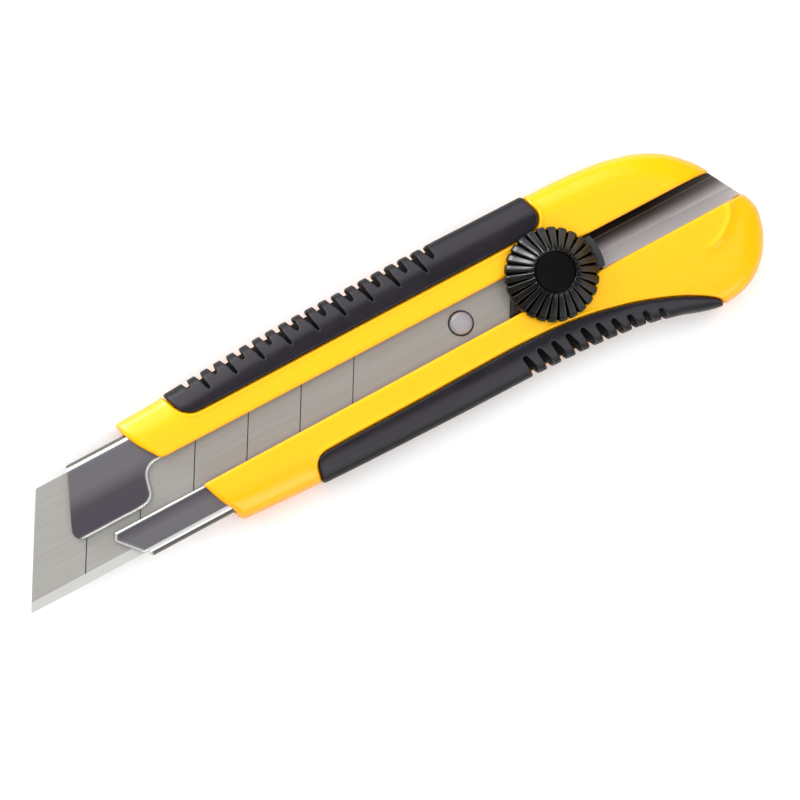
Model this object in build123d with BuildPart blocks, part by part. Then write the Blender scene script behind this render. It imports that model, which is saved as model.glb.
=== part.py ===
"""Heavy-duty snap-off utility knife: 25 mm segmented blade, folded steel channel, screw-wheel lock.

The knife lies on its back. +Z is up out of its front face, +X points to the butt and +Y to the
upper grip. The origin is on the flat back, midway along the knife and under the blade's centre line.
"""
from build123d import *
import os
from math import radians, tan

os.makedirs("parts", exist_ok=True)

# Blade: a parallelogram of hardened strip, scored into segments that snap off.
blade_width = 25.0
blade_edge = 126.0
blade_thickness = 0.7
segment_pitch = 14.0
segments = 7
score_lean = 30.0
score_width = 0.3
score_depth = 0.15
bevel_width = 2.3
edge_land = 0.06
blade_tip_x = -106.8
blade_z = 10.0
blade_hole_radius = 3.1

# Blade channel: folded stainless sheet, open along its front between two lips.
sheet = 0.8
channel_width = 28.0
channel_height = 5.0
channel_bend = 2.3
channel_z = 6.8
crease_width = 0.5
crease_depth = 0.3

# Handle: one moulding with a slot along its face, and two soft grips set into its sides.
handle_thickness = 14.0
edge_round = 3.6
back_round = 3.0
cavity_gap = 0.05
rear_wall = 2.0
rear_slot_half = 4.3
pocket_floor = 2.2
pocket_length = 12.5
pocket_width = 8.0
pocket_pitch = 16.0
pocket_row = 7.4
pockets = 8
grip_proud = 0.5
grip_inlay = 1.0
grip_gap = 0.25
grip_low_z = 1.6
notch_depth = 0.9
upper_notches = 19
upper_notch_pitch = 3.6
upper_notch_width = 1.35
lower_notches = 10
lower_notch_pitch = 3.8
lower_notch_width = 1.7

# Slider, clamp and wheel.
wheel_x = 36.9
wheel_radius = 11.3
wheel_ribs = 26
wheel_z = 14.8
wheel_rim_z = 17.2
wheel_top_z = 22.4
cap_radius = 4.7
pin_x = 13.2
pin_radius = 2.75
pin_top_z = 11.9
neck_width = 8.0
neck_top_z = 14.4
deck_z = 11.6
boss_z = 15.2
slider_radius = 13.1
slider_width = 25.0
slider_front_x = 4.0
holder_z = 8.2
holder_thickness = 1.0
bolt_radius = 2.5
clamp_z = 9.7
clamp_thickness = 1.2
clamp_x_span = 14.0
clamp_y_span = 21.0
bolt_head = 8.4
bolt_head_z = 8.5
washer_radius = 6.5
washer_thickness = 0.5
thread_gap = 0.05
insert_radius = 4.0
rivet_radius = 1.5
channel_rivet_x = (-40.0, 18.0)

# Places worked out from the sizes above.
lean = tan(radians(score_lean))
half_blade = blade_width / 2
tail_x = blade_tip_x + blade_edge
blade_top = blade_z + blade_thickness
channel_top = channel_z + channel_height
channel_floor = channel_z + sheet
block_z = holder_z + holder_thickness
insert_z = boss_z + 2 * washer_thickness + 0.05
beyond = 100.0


def lean_x(base_x, y):
    """X at height y of a line that leans with the score lines from base_x at the cutting edge."""
    return base_x + (y + half_blade) * lean


# ---- Plan shapes of the handle ----
nose_top = (-70.6, 17.0)
nose_middle = (-60.9, 0.3)
nose_bottom = (-53.6, -16.8)
crown_end = (42.0, 19.5)
crown_middle = (-14.5, 19.6)
slot_end_top = (82.6, 5.1)
slot_end_y = -4.7
heel_start = (36.0, -19.1)
heel_middle = (55.0, -20.9)
heel_tip = (73.0, -26.0)
butt_middle = (85.4, -19.4)
butt_end = (89.7, -9.4)
slot_end_low = (88.7, -5.0)
belly_middle = (-8.8, -18.5)
rear_middle = (67.5, 16.7)

with BuildSketch() as handle_plan:
    with BuildLine():
        ThreePointArc(nose_top, nose_middle, nose_bottom)
        ThreePointArc(nose_bottom, belly_middle, heel_start)
        ThreePointArc(heel_start, heel_middle, heel_tip)
        ThreePointArc(heel_tip, butt_middle, butt_end)
        Polyline(butt_end, slot_end_low, slot_end_top)
        ThreePointArc(slot_end_top, rear_middle, crown_end)
        ThreePointArc(crown_end, crown_middle, nose_top)
    make_face()


def butt_x(y, inset):
    """X at height y of the flat across the slot's rear end, moved inwards by inset along X."""
    run = (slot_end_top[0] - slot_end_low[0]) / (slot_end_top[1] - slot_end_low[1])
    return slot_end_low[0] + (y - slot_end_low[1]) * run - inset


def hollow_plan(gap):
    """Plan of the handle's hollow, less gap: open in front, walled round the butt but for the slot."""
    half = rear_slot_half - gap
    with BuildSketch(mode=Mode.PRIVATE) as plan:
        add(handle_plan.sketch)
        offset(amount=-rear_wall - gap)
        with Locations((-45, 0)):
            Rectangle(120, 40)
        Polygon(
            (0, -half),
            (butt_x(-half, 6 * gap), -half),
            (butt_x(half, 6 * gap), half),
            (0, half),
            align=None,
        )
    return plan.sketch


with BuildSketch() as upper_window:
    with BuildLine():
        Polyline((-58.3, 24.0), (-54.1, 10.8), (41.9, 10.8), (39.1, 24.0), close=True)
    make_face()
    fillet(upper_window.vertices().group_by(Axis.Y)[0], 3.4)

with BuildSketch() as lower_window:
    with BuildLine():
        Line((-32.6, -30.0), (-32.6, -11.6))
        Line((-32.6, -11.6), (22.0, -11.1))
        ThreePointArc((22.0, -11.1), (52.0, -15.2), (74.0, -28.4))
        Polyline((74.0, -28.4), (74.0, -30.0), (-32.6, -30.0))
    make_face()
    fillet(lower_window.vertices().sort_by(Axis.X)[0:2].sort_by(Axis.Y)[-1], 3.0)


def envelope(grow, rounded_base=True):
    """The handle's outer form moved outwards by grow, with its long edges rounded."""
    with BuildPart(mode=Mode.PRIVATE) as form:
        with BuildSketch(Plane.XY.offset(-grow)):
            add(handle_plan.sketch)
            if grow:
                offset(amount=grow, kind=Kind.INTERSECTION if grow > 0 else Kind.ARC)
        extrude(amount=handle_thickness + 2 * grow)
        if rounded_base:
            for corner_x, radius in ((nose_top[0], 2.4), (nose_bottom[0], 1.8), (heel_tip[0], 6.0)):
                uprights = form.edges().filter_by(Axis.Z)
                fillet(uprights.sort_by(lambda e: abs(e.center().X - corner_x))[0], radius + grow)
        fillet(form.faces().sort_by(Axis.Z)[-1].edges(), edge_round + grow)
        if rounded_base:
            fillet(form.faces().sort_by(Axis.Z)[0].edges(), back_round + grow)
    return form.part


outer_form = envelope(0)
proud_form = envelope(grip_proud)
inlay_form = envelope(-grip_inlay, rounded_base=False)
groove_form = envelope(grip_proud - notch_depth, rounded_base=False)


def rivet(radius, head_radius, top_z, cone, tail_z, tail_radius, tail_height):
    """A countersunk rivet standing on the Z axis, with a round closing head at its lower end."""
    with BuildPart(mode=Mode.PRIVATE) as made:
        with BuildSketch(Plane.XZ):
            with BuildLine():
                Polyline(
                    (0, tail_z),
                    (tail_radius, tail_z),
                    (tail_radius, tail_z + tail_height),
                    (radius, tail_z + tail_height),
                    (radius, top_z - cone),
                    (head_radius, top_z),
                    (0, top_z),
                    close=True,
                )
            make_face()
        revolve(axis=Axis.Z)
    return made.part


channel_rivet = rivet(rivet_radius, 3.0, channel_floor, sheet, 0.4, 3.0, 1.2)
rear_rivet_spots = ((46.0, 6.6), (46.0, -6.6))
front_rivet_spots = ((7.5, 8.5), (7.5, -8.5))

# ---- Handle body: slot, tunnel for the channel, coring pockets, grip recesses ----
with BuildPart() as tunnel:
    with BuildSketch(Plane.YZ.offset(-beyond)):
        with Locations((0, channel_z + channel_height / 2)):
            RectangleRounded(
                channel_width + 2 * cavity_gap,
                channel_height + 2 * cavity_gap,
                channel_bend + cavity_gap,
            )
    extrude(amount=2 * beyond)
    with BuildSketch():
        add(hollow_plan(0.0))
    extrude(amount=20, mode=Mode.INTERSECT)

with BuildPart() as handle_body:
    add(outer_form)
    add(tunnel.part, mode=Mode.SUBTRACT)
    with BuildSketch(Plane.XY.offset(channel_top - 0.5)):
        Polygon((-90, 5.2), (-90, -5.1), (95, -4.25), (95, 4.3), align=None)
    extrude(amount=10, mode=Mode.SUBTRACT)
    with BuildSketch(Plane.XY.offset(pocket_floor)):
        with GridLocations(pocket_pitch, 2 * pocket_row, pockets, 2):
            RectangleRounded(pocket_length, pocket_width, 1.0)
    extrude(amount=channel_z - pocket_floor, mode=Mode.SUBTRACT)
    with Locations(*[(x, 0, 0) for x in channel_rivet_x]):
        Cylinder(rivet_radius, 8, align=(Align.CENTER, Align.CENTER, Align.MIN), mode=Mode.SUBTRACT)
        Cylinder(3.2, 1.6, align=(Align.CENTER, Align.CENTER, Align.MIN), mode=Mode.SUBTRACT)
    with BuildPart(mode=Mode.PRIVATE) as recesses:
        with BuildSketch(Plane.XY.offset(grip_low_z - grip_gap)):
            for window in (upper_window, lower_window):
                add(window.sketch)
            offset(amount=grip_gap)
        extrude(amount=20)
        add(inlay_form, mode=Mode.SUBTRACT)
    add(recesses.part, mode=Mode.SUBTRACT)
handle_body.part.label = "handle_body"
export_step(handle_body.part, "parts/handle_body.step")


def grip(window, notch_lines, notch_width):
    """A soft grip in its recess, with a groove notch_width wide along each (start, end) line."""
    with BuildPart(mode=Mode.PRIVATE) as grooves:
        with BuildSketch(Plane.XY.offset(grip_low_z - 1)):
            with BuildLine():
                for start, end in notch_lines:
                    Line(start, end)
            trace(line_width=notch_width)
        extrude(amount=20)
        add(groove_form, mode=Mode.SUBTRACT)
    with BuildPart(mode=Mode.PRIVATE) as made:
        with BuildSketch(Plane.XY.offset(grip_low_z)):
            add(window.sketch)
        extrude(amount=20)
        add(proud_form, mode=Mode.INTERSECT)
        add(inlay_form, mode=Mode.SUBTRACT)
        add(grooves.part, mode=Mode.SUBTRACT)
    return made.part


upper_lines = []
for index in range(upper_notches):
    top_x = -52.0 + upper_notch_pitch * index
    foot_y = 14.4 if index % 2 else 17.0
    upper_lines.append(((top_x, 24.0), (top_x + (24.0 - foot_y) * 0.22, foot_y)))
lower_lines = []
for index in range(lower_notches):
    foot_x = 23.3 + lower_notch_pitch * index
    foot_y = -15.4 - 0.13 * max(0.0, foot_x - 34.0) - 0.004 * max(0.0, foot_x - 34.0) ** 2
    lower_lines.append(((foot_x, foot_y), (foot_x - 0.8, -30.0)))

with BuildPart() as upper_grip:
    add(grip(upper_window, upper_lines, upper_notch_width))
upper_grip.part.label = "upper_grip"
export_step(upper_grip.part, "parts/upper_grip.step")

with BuildPart() as lower_grip:
    add(grip(lower_window, lower_lines, lower_notch_width))
lower_grip.part.label = "lower_grip"
export_step(lower_grip.part, "parts/lower_grip.step")

# ---- Blade channel: folded sheet, its lips shaped at the front, open at both ends ----
with BuildPart() as blade_channel:
    with BuildSketch(Plane.YZ.offset(-90)):
        with Locations((0, channel_z + channel_height / 2)):
            RectangleRounded(channel_width, channel_height, channel_bend)
            RectangleRounded(
                channel_width - 2 * sheet,
                channel_height - 2 * sheet,
                channel_bend - sheet,
                mode=Mode.SUBTRACT,
            )
    extrude(amount=180)
    with BuildSketch(Plane.XY.offset(channel_floor)):
        with BuildLine():
            Line((-96, -3.1), (-71.9, -3.1))
            ThreePointArc((-71.9, -3.1), (-69.8, -2.2), (-69.0, -0.9))
            Line((-69.0, -0.9), (-68.1, 3.2))
            ThreePointArc((-68.1, 3.2), (-66.6, 4.7), (-63.8, 5.1))
            Polyline(
                (-63.8, 5.1),
                (96, 5.1),
                (96, -5.1),
                (-81.1, -5.1),
                (-82.1, -7.0),
                (-76.6, -13.2),
                (-75.2, -15.0),
                (-96, -15.0),
                (-96, -3.1),
            )
        make_face()
    extrude(amount=5, mode=Mode.SUBTRACT)
    with BuildSketch(Plane.XY.offset(channel_floor)):
        Polygon((-96, -4), (-90.8, -4), (-84.5, 11.4), (-83.9, 15.0), (-96, 15.0), align=None)
        Polygon((-96, -4), (-87.0, -3.3), (-88.7, -2.7), (-89.6, -1.4), (-96, 0), align=None)
    extrude(amount=5, mode=Mode.SUBTRACT)
    with BuildSketch(Plane.XY.offset(channel_z - 1)):
        Polygon((-96, 15), (-84.3, 15), (-80.5, -15), (-96, -15), align=None)
    extrude(amount=2.4, mode=Mode.SUBTRACT)
    with BuildSketch():
        add(hollow_plan(0.1))
    extrude(amount=20, mode=Mode.INTERSECT)
    with BuildSketch(Plane.XY.offset(channel_floor)):
        with Locations((0, -1.2)):
            Rectangle(144.6, crease_width)
    extrude(amount=-crease_depth, mode=Mode.SUBTRACT)
    for x in channel_rivet_x:
        with Locations((x, 0, 0)):
            add(channel_rivet, mode=Mode.SUBTRACT)
blade_channel.part.label = "blade_channel"
export_step(blade_channel.part, "parts/blade_channel.step")

with BuildPart() as channel_rivets:
    with Locations(*[(x, 0, 0) for x in channel_rivet_x]):
        add(channel_rivet)
channel_rivets.part.label = "channel_rivets"
export_step(channel_rivets.part, "parts/channel_rivets.step")

# ---- Blade: ground on one edge, scored on top, with a hole for the slider's pin ----
with BuildPart() as blade:
    with BuildSketch(Plane.XY.offset(blade_z)):
        Polygon(
            (blade_tip_x, -half_blade),
            (tail_x, -half_blade),
            (lean_x(tail_x, half_blade), half_blade),
            (lean_x(blade_tip_x, half_blade), half_blade),
            (lean_x(blade_tip_x, 10.4), 10.4),
            align=None,
        )
    extrude(amount=blade_thickness)
    for side in (1, -1):
        middle = blade_z + blade_thickness / 2
        with BuildSketch(Plane.YZ.offset(-110)):
            Polygon(
                (-half_blade - 1, middle + side * (edge_land - 0.13)),
                (-half_blade, middle + side * edge_land),
                (-half_blade + bevel_width, middle + side * blade_thickness / 2),
                (-half_blade + bevel_width, middle + side * 2),
                (-half_blade - 1, middle + side * 2),
                align=None,
            )
        extrude(amount=140, mode=Mode.SUBTRACT)
    with Locations((pin_x, 0, blade_z)):
        Cylinder(blade_hole_radius, 3, mode=Mode.SUBTRACT)
    for index in range(1, segments - 1):
        base_x = blade_tip_x + segment_pitch * index
        with BuildSketch(Plane.XY.offset(blade_top)):
            Polygon(
                (lean_x(base_x, -14) - score_width / 2, -14),
                (lean_x(base_x, -14) + score_width / 2, -14),
                (lean_x(base_x, 14) + score_width / 2, 14),
                (lean_x(base_x, 14) - score_width / 2, 14),
                align=None,
            )
        extrude(amount=-score_depth, mode=Mode.SUBTRACT)
blade.part.label = "blade"
export_step(blade.part, "parts/blade.step")


def slider_plan(front_x, half_width):
    """The slider's outline: square in front, round about the wheel's axis at the rear."""
    with BuildSketch(mode=Mode.PRIVATE) as plan:
        with Locations((wheel_x, 0)):
            Circle(slider_radius)
        with Locations(((front_x + wheel_x) / 2, 0)):
            Rectangle(wheel_x - front_x, 30)
        with Locations(((front_x + wheel_x) / 2 + 20, 0)):
            Rectangle(wheel_x - front_x + 40, 2 * half_width, mode=Mode.INTERSECT)
    return plan.sketch


# ---- Slider block: tongue under the blade's tail, body under the lips, neck up through the slot ----
with BuildPart() as slider_block:
    with BuildSketch(Plane.XY.offset(block_z)):
        add(slider_plan(slider_front_x, slider_width / 2))
    extrude(amount=blade_top - block_z)
    with BuildSketch(Plane.XY.offset(blade_z)):
        Polygon((-9, -20), (lean_x(tail_x, -20), -20), (lean_x(tail_x, 20), 20), (-9, 20), align=None)
    extrude(amount=5, mode=Mode.SUBTRACT)
    with BuildSketch(Plane.XY.offset(blade_top)):
        add(slider_plan(lean_x(tail_x, -4), neck_width / 2))
        Polygon(
            (0, -20),
            (lean_x(tail_x, -20), -20),
            (lean_x(tail_x, 20), 20),
            (0, 20),
            align=None,
            mode=Mode.SUBTRACT,
        )
    extrude(amount=deck_z - blade_top)
    with BuildSketch(Plane.XY.offset(deck_z)):
        add(slider_plan(lean_x(tail_x, 0) + 2.0, neck_width / 2))
    extrude(amount=neck_top_z - deck_z)
    with BuildSketch(Plane.XY.offset(neck_top_z)):
        with Locations((wheel_x, 0)):
            Circle(neck_width / 2 - 0.1)
    extrude(amount=boss_z - neck_top_z)
    with BuildSketch(Plane.XY.offset(block_z)):
        with BuildLine():
            Polyline(
                (wheel_x - 7.5, -11.0),
                (wheel_x - 7.5, 0.5),
                (wheel_x - 1.4, 11.0),
                (wheel_x + 7.5, 11.0),
                (wheel_x + 7.5, -11.0),
                (wheel_x - 7.5, -11.0),
            )
        make_face()
    extrude(amount=channel_top - sheet - block_z, mode=Mode.SUBTRACT)
    with Locations((wheel_x, 0, 12)):
        Cylinder(bolt_radius + 0.08, 10, mode=Mode.SUBTRACT)
    with Locations((pin_x, 0, block_z)):
        Cylinder(pin_radius, 4, mode=Mode.SUBTRACT)
    with Locations(*[(x, y, block_z) for x, y in rear_rivet_spots + front_rivet_spots]):
        Cylinder(1.1, 6, mode=Mode.SUBTRACT)
slider_block.part.label = "slider_block"
export_step(slider_block.part, "parts/slider_block.step")

# ---- Blade holder: steel plate under the block, windowed for the bolt's head ----
with BuildPart() as blade_holder:
    with BuildSketch(Plane.XY.offset(holder_z)):
        add(slider_plan(slider_front_x, slider_width / 2))
        fillet(vertices().filter_by(lambda v: v.X < slider_front_x + 1), 2.5)
        with Locations((wheel_x, 0)):
            RectangleRounded(bolt_head + 2.4, bolt_head + 2.4, 0.8, mode=Mode.SUBTRACT)
        with Locations((pin_x, 0)):
            Circle(2.0, mode=Mode.SUBTRACT)
        with Locations(*(rear_rivet_spots + front_rivet_spots)):
            Circle(1.1, mode=Mode.SUBTRACT)
    extrude(amount=holder_thickness)
blade_holder.part.label = "blade_holder"
export_step(blade_holder.part, "parts/blade_holder.step")

with BuildPart() as holder_rivets:
    for spots, top_z in ((rear_rivet_spots, blade_top), (front_rivet_spots, blade_z)):
        with BuildSketch(Plane.XY.offset(holder_z)):
            with Locations(*spots):
                Circle(1.1)
        extrude(amount=top_z - holder_z)
holder_rivets.part.label = "holder_rivets"
export_step(holder_rivets.part, "parts/holder_rivets.step")

# ---- Pin that carries the blade by its hole ----
with BuildPart() as blade_pin:
    with BuildSketch(Plane.XZ):
        with BuildLine():
            Polyline(
                (pin_x, holder_z),
                (pin_x + 2.0, holder_z),
                (pin_x + 2.0, block_z),
                (pin_x + pin_radius, block_z),
                (pin_x + pin_radius, pin_top_z - 0.6),
                (pin_x + pin_radius - 0.5, pin_top_z - 0.2),
                (pin_x + 1.2, pin_top_z),
                (pin_x, pin_top_z),
                close=True,
            )
        make_face()
    revolve(axis=Axis((pin_x, 0, 0), (0, 0, 1)))
blade_pin.part.label = "blade_pin"
export_step(blade_pin.part, "parts/blade_pin.step")

# ---- Bowed leaf that keeps the slider up against the lips ----
with BuildPart() as slider_spring:
    with BuildSketch(Plane.XZ.offset(-4)):
        with BuildLine():
            ThreePointArc((5.0, holder_z), (16.0, channel_floor + 0.05), (27.0, holder_z))
            Line((27.0, holder_z), (25.2, holder_z))
            ThreePointArc((25.2, holder_z), (16.0, channel_floor + 0.3), (6.8, holder_z))
            Line((6.8, holder_z), (5.0, holder_z))
        make_face()
    extrude(amount=8)
slider_spring.part.label = "slider_spring"
export_step(slider_spring.part, "parts/slider_spring.step")

# ---- Washers between the slider's boss and the wheel's nut ----
with BuildPart() as thrust_washer:
    with BuildSketch(Plane.XY.offset(boss_z)):
        with Locations((wheel_x, 0)):
            Circle(washer_radius)
            Circle(bolt_radius + 0.15, mode=Mode.SUBTRACT)
    extrude(amount=washer_thickness)
thrust_washer.part.label = "thrust_washer"
export_step(thrust_washer.part, "parts/thrust_washer.step")

with BuildPart() as wave_washer:
    with BuildSketch(Plane.XY.offset(boss_z + washer_thickness)):
        with Locations((wheel_x, 0)):
            Circle(washer_radius - 0.4)
            Circle(bolt_radius + 0.15, mode=Mode.SUBTRACT)
    extrude(amount=washer_thickness)
    for turn in (0, 60, 120):
        valley = Location((wheel_x, 0, boss_z + 2 * washer_thickness + 7.75), (0, 0, turn))
        with Locations(valley):
            Cylinder(8.0, 20, rotation=(0, 90, 0), mode=Mode.SUBTRACT)
wave_washer.part.label = "wave_washer"
export_step(wave_washer.part, "parts/wave_washer.step")

# ---- Clamp: bolt with a square head, the plate it pulls up under the lips, its clip ----
bolt_top_z = wheel_top_z - 1.4
clip_z = bolt_top_z - 1.2
with BuildPart() as clamp_bolt:
    with BuildSketch(Plane.XY.offset(bolt_head_z)):
        with Locations((wheel_x, 0)):
            RectangleRounded(bolt_head, bolt_head, 0.6)
    extrude(amount=clamp_z - bolt_head_z)
    with BuildSketch(Plane.XY.offset(clamp_z)):
        with Locations((wheel_x, 0)):
            Circle(bolt_radius)
    extrude(amount=bolt_top_z - clamp_z)
    chamfer(clamp_bolt.faces().sort_by(Axis.Z)[-1].edges(), 0.4)
    with BuildSketch(Plane.XY.offset(clip_z)):
        with Locations((wheel_x, 0)):
            Circle(bolt_radius + 1)
            Circle(bolt_radius - 0.5, mode=Mode.SUBTRACT)
    extrude(amount=0.6, mode=Mode.SUBTRACT)
clamp_bolt.part.label = "clamp_bolt"
export_step(clamp_bolt.part, "parts/clamp_bolt.step")

with BuildPart() as clamp_plate:
    with BuildSketch(Plane.XY.offset(clamp_z)):
        rear_x = wheel_x + clamp_x_span / 2
        front_x = wheel_x - clamp_x_span / 2
        Polygon(
            (front_x, -clamp_y_span / 2),
            (rear_x, -clamp_y_span / 2),
            (rear_x, clamp_y_span / 2),
            (wheel_x - 0.9, clamp_y_span / 2),
            (front_x, 0.0),
            align=None,
        )
        with Locations((wheel_x, 0)):
            Circle(bolt_radius, mode=Mode.SUBTRACT)
    extrude(amount=clamp_thickness)
clamp_plate.part.label = "clamp_plate"
export_step(clamp_plate.part, "parts/clamp_plate.step")

with BuildPart() as bolt_clip:
    with BuildSketch(Plane.XY.offset(clip_z)):
        with Locations((wheel_x, 0)):
            Circle(3.4)
            Circle(bolt_radius - 0.5, mode=Mode.SUBTRACT)
        with Locations((wheel_x + 2.5, 0)):
            Rectangle(5, 2.6, mode=Mode.SUBTRACT)
    extrude(amount=0.6)
bolt_clip.part.label = "bolt_clip"
export_step(bolt_clip.part, "parts/bolt_clip.step")

# ---- Lock wheel: ribbed cone with a nut pressed in and a cap over the bolt's end ----
insert_top_z = clip_z - 0.45
slope = Vector(wheel_radius - cap_radius - 0.8, 0, wheel_rim_z - wheel_top_z)
with BuildPart() as rib_gap:
    with BuildSketch(Plane((cap_radius + 0.8, 0, wheel_top_z), z_dir=slope, x_dir=(0, 1, 0))):
        Polygon((0, -1.0), (0.95, 0.6), (-0.95, 0.6), align=None)
    extrude(amount=20, taper=-1.0)

with BuildPart() as lock_wheel:
    with BuildSketch(Plane.XZ):
        with BuildLine():
            Polyline(
                (wheel_x, wheel_z),
                (wheel_x + wheel_radius - 0.5, wheel_z),
                (wheel_x + wheel_radius, wheel_z + 0.5),
                (wheel_x + wheel_radius, wheel_rim_z - 0.5),
                (wheel_x + wheel_radius - 0.6, wheel_rim_z),
                (wheel_x + cap_radius + 0.8, wheel_top_z),
                (wheel_x, wheel_top_z),
                close=True,
            )
        make_face()
    revolve(axis=Axis((wheel_x, 0, 0), (0, 0, 1)))
    with Locations((wheel_x, 0, 0)):
        with PolarLocations(0, wheel_ribs):
            add(rib_gap.part, mode=Mode.SUBTRACT)
    for low_z, radius, height in (
        (wheel_z, washer_radius + 0.5, insert_z - wheel_z),
        (insert_z, insert_radius, insert_top_z - insert_z),
        (insert_top_z, 3.9, wheel_top_z - 1.0 - insert_top_z),
        (wheel_top_z - 1.0, cap_radius, 2.0),
    ):
        with BuildSketch(Plane.XY.offset(low_z)):
            with Locations((wheel_x, 0)):
                Circle(radius)
        extrude(amount=height, mode=Mode.SUBTRACT)
lock_wheel.part.label = "lock_wheel"
export_step(lock_wheel.part, "parts/lock_wheel.step")

with BuildPart() as wheel_insert:
    with BuildSketch(Plane.XY.offset(insert_z)):
        with Locations((wheel_x, 0)):
            Circle(insert_radius)
            Circle(bolt_radius + thread_gap, mode=Mode.SUBTRACT)
    extrude(amount=insert_top_z - insert_z)
wheel_insert.part.label = "wheel_insert"
export_step(wheel_insert.part, "parts/wheel_insert.step")

with BuildPart() as wheel_cap:
    with BuildSketch(Plane.XY.offset(wheel_top_z - 1.0)):
        with Locations((wheel_x, 0)):
            Circle(cap_radius)
    extrude(amount=0.8)
    chamfer(wheel_cap.faces().sort_by(Axis.Z)[-1].edges(), 0.15)
wheel_cap.part.label = "wheel_cap"
export_step(wheel_cap.part, "parts/wheel_cap.step")
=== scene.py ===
"""The looks of a heavy-duty snap-off utility knife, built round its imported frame.

Sizes in the classes are in millimetres, in the knife's own frame: it lies on its back with +Z up out
of its front face, +X towards the butt and +Y towards the upper grip. Meshes are handed over in metres.
"""

import logging
import math
from abc import ABC, abstractmethod
from dataclasses import dataclass, field
from enum import Enum
from typing import Callable, Sequence

import bpy
import numpy as np
from mathutils import Matrix, Vector


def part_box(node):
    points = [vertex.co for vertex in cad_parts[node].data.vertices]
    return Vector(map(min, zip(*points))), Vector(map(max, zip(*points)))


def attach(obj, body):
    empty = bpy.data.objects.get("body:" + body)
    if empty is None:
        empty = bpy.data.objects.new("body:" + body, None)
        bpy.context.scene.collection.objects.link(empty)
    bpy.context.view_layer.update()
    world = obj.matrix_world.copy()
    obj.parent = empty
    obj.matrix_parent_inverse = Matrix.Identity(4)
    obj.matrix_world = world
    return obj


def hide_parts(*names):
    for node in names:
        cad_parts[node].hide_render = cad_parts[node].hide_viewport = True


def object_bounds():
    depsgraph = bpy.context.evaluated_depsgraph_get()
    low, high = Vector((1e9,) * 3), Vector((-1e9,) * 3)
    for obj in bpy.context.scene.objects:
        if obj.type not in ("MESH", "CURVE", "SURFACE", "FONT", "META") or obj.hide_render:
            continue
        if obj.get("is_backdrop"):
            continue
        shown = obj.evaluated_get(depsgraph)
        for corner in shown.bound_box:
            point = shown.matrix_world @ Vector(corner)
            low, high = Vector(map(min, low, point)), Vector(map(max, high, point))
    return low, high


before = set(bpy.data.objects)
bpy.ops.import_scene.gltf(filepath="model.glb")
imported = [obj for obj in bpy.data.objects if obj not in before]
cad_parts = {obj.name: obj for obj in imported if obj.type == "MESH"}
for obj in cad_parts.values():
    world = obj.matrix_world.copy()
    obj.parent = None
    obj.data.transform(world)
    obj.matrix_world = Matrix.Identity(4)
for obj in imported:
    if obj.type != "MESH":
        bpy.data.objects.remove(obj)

MM = 0.001
log = logging.getLogger("knife")

Field = Callable[[np.ndarray, np.ndarray, np.ndarray], np.ndarray]
Point = tuple[float, float]
Triple = tuple[float, float, float]
Colour = tuple[float, float, float]
Groove = tuple[Point, Point, float]
Socket = bpy.types.NodeSocket

RISING: Point = (0.0, 1.0)
FALLING: Point = (1.0, 0.0)


# ---- Shape tools -------------------------------------------------------------------------------


def soft_max(a: np.ndarray, b: np.ndarray, blend: float) -> np.ndarray:
    """The larger of two distances, with the corner between them rounded.

    Args:
        a: First distance.
        b: Second distance.
        blend: Width of the rounded corner, in mm.

    Returns:
        The blended distance.
    """
    mix = np.clip(0.5 + 0.5 * (a - b) / blend, 0.0, 1.0)
    return b + (a - b) * mix + blend * mix * (1.0 - mix)


def ramp(value: np.ndarray, low: float, high: float) -> np.ndarray:
    """A smooth step from 0 at low to 1 at high."""
    t = np.clip((value - low) / (high - low), 0.0, 1.0)
    return t * t * (3.0 - 2.0 * t)


def hump(value: np.ndarray, middle: float, width: float) -> np.ndarray:
    """A soft hump that is 1 at middle and has nearly gone at twice its width from there."""
    return np.exp(-(((value - middle) / width) ** 2))


def tube_section(y: np.ndarray, z: np.ndarray, half_width: float, span: Point, bend: float) -> np.ndarray:
    """Distance from a flat tube along X with rounded bends, negative inside it.

    Args:
        y: Y of the points, in mm.
        z: Z of the points, in mm.
        half_width: Half the tube's width.
        span: Its lowest and highest Z.
        bend: Radius of its four bends.

    Returns:
        The distance from the tube's outer face.
    """
    across = np.abs(y) - half_width + bend
    up = np.abs(z - sum(span) / 2) - (span[1] - span[0]) / 2 + bend
    round_bends = np.hypot(np.maximum(across, 0), np.maximum(up, 0))
    return round_bends + np.minimum(np.maximum(across, up), 0) - bend


def ladder(*stops: tuple[float, float]) -> np.ndarray:
    """Grid lines along one axis.

    Args:
        stops: Pairs of a position and the spacing used from there to the next one.

    Returns:
        The positions, rising from the first stop to the last.
    """
    lines: list[float] = []
    for (start, step), (end, _) in zip(stops, stops[1:]):
        count = max(1, round((end - start) / step))
        lines.extend(start + (end - start) * i / count for i in range(count))
    lines.append(stops[-1][0])
    return np.array(lines)


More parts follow.
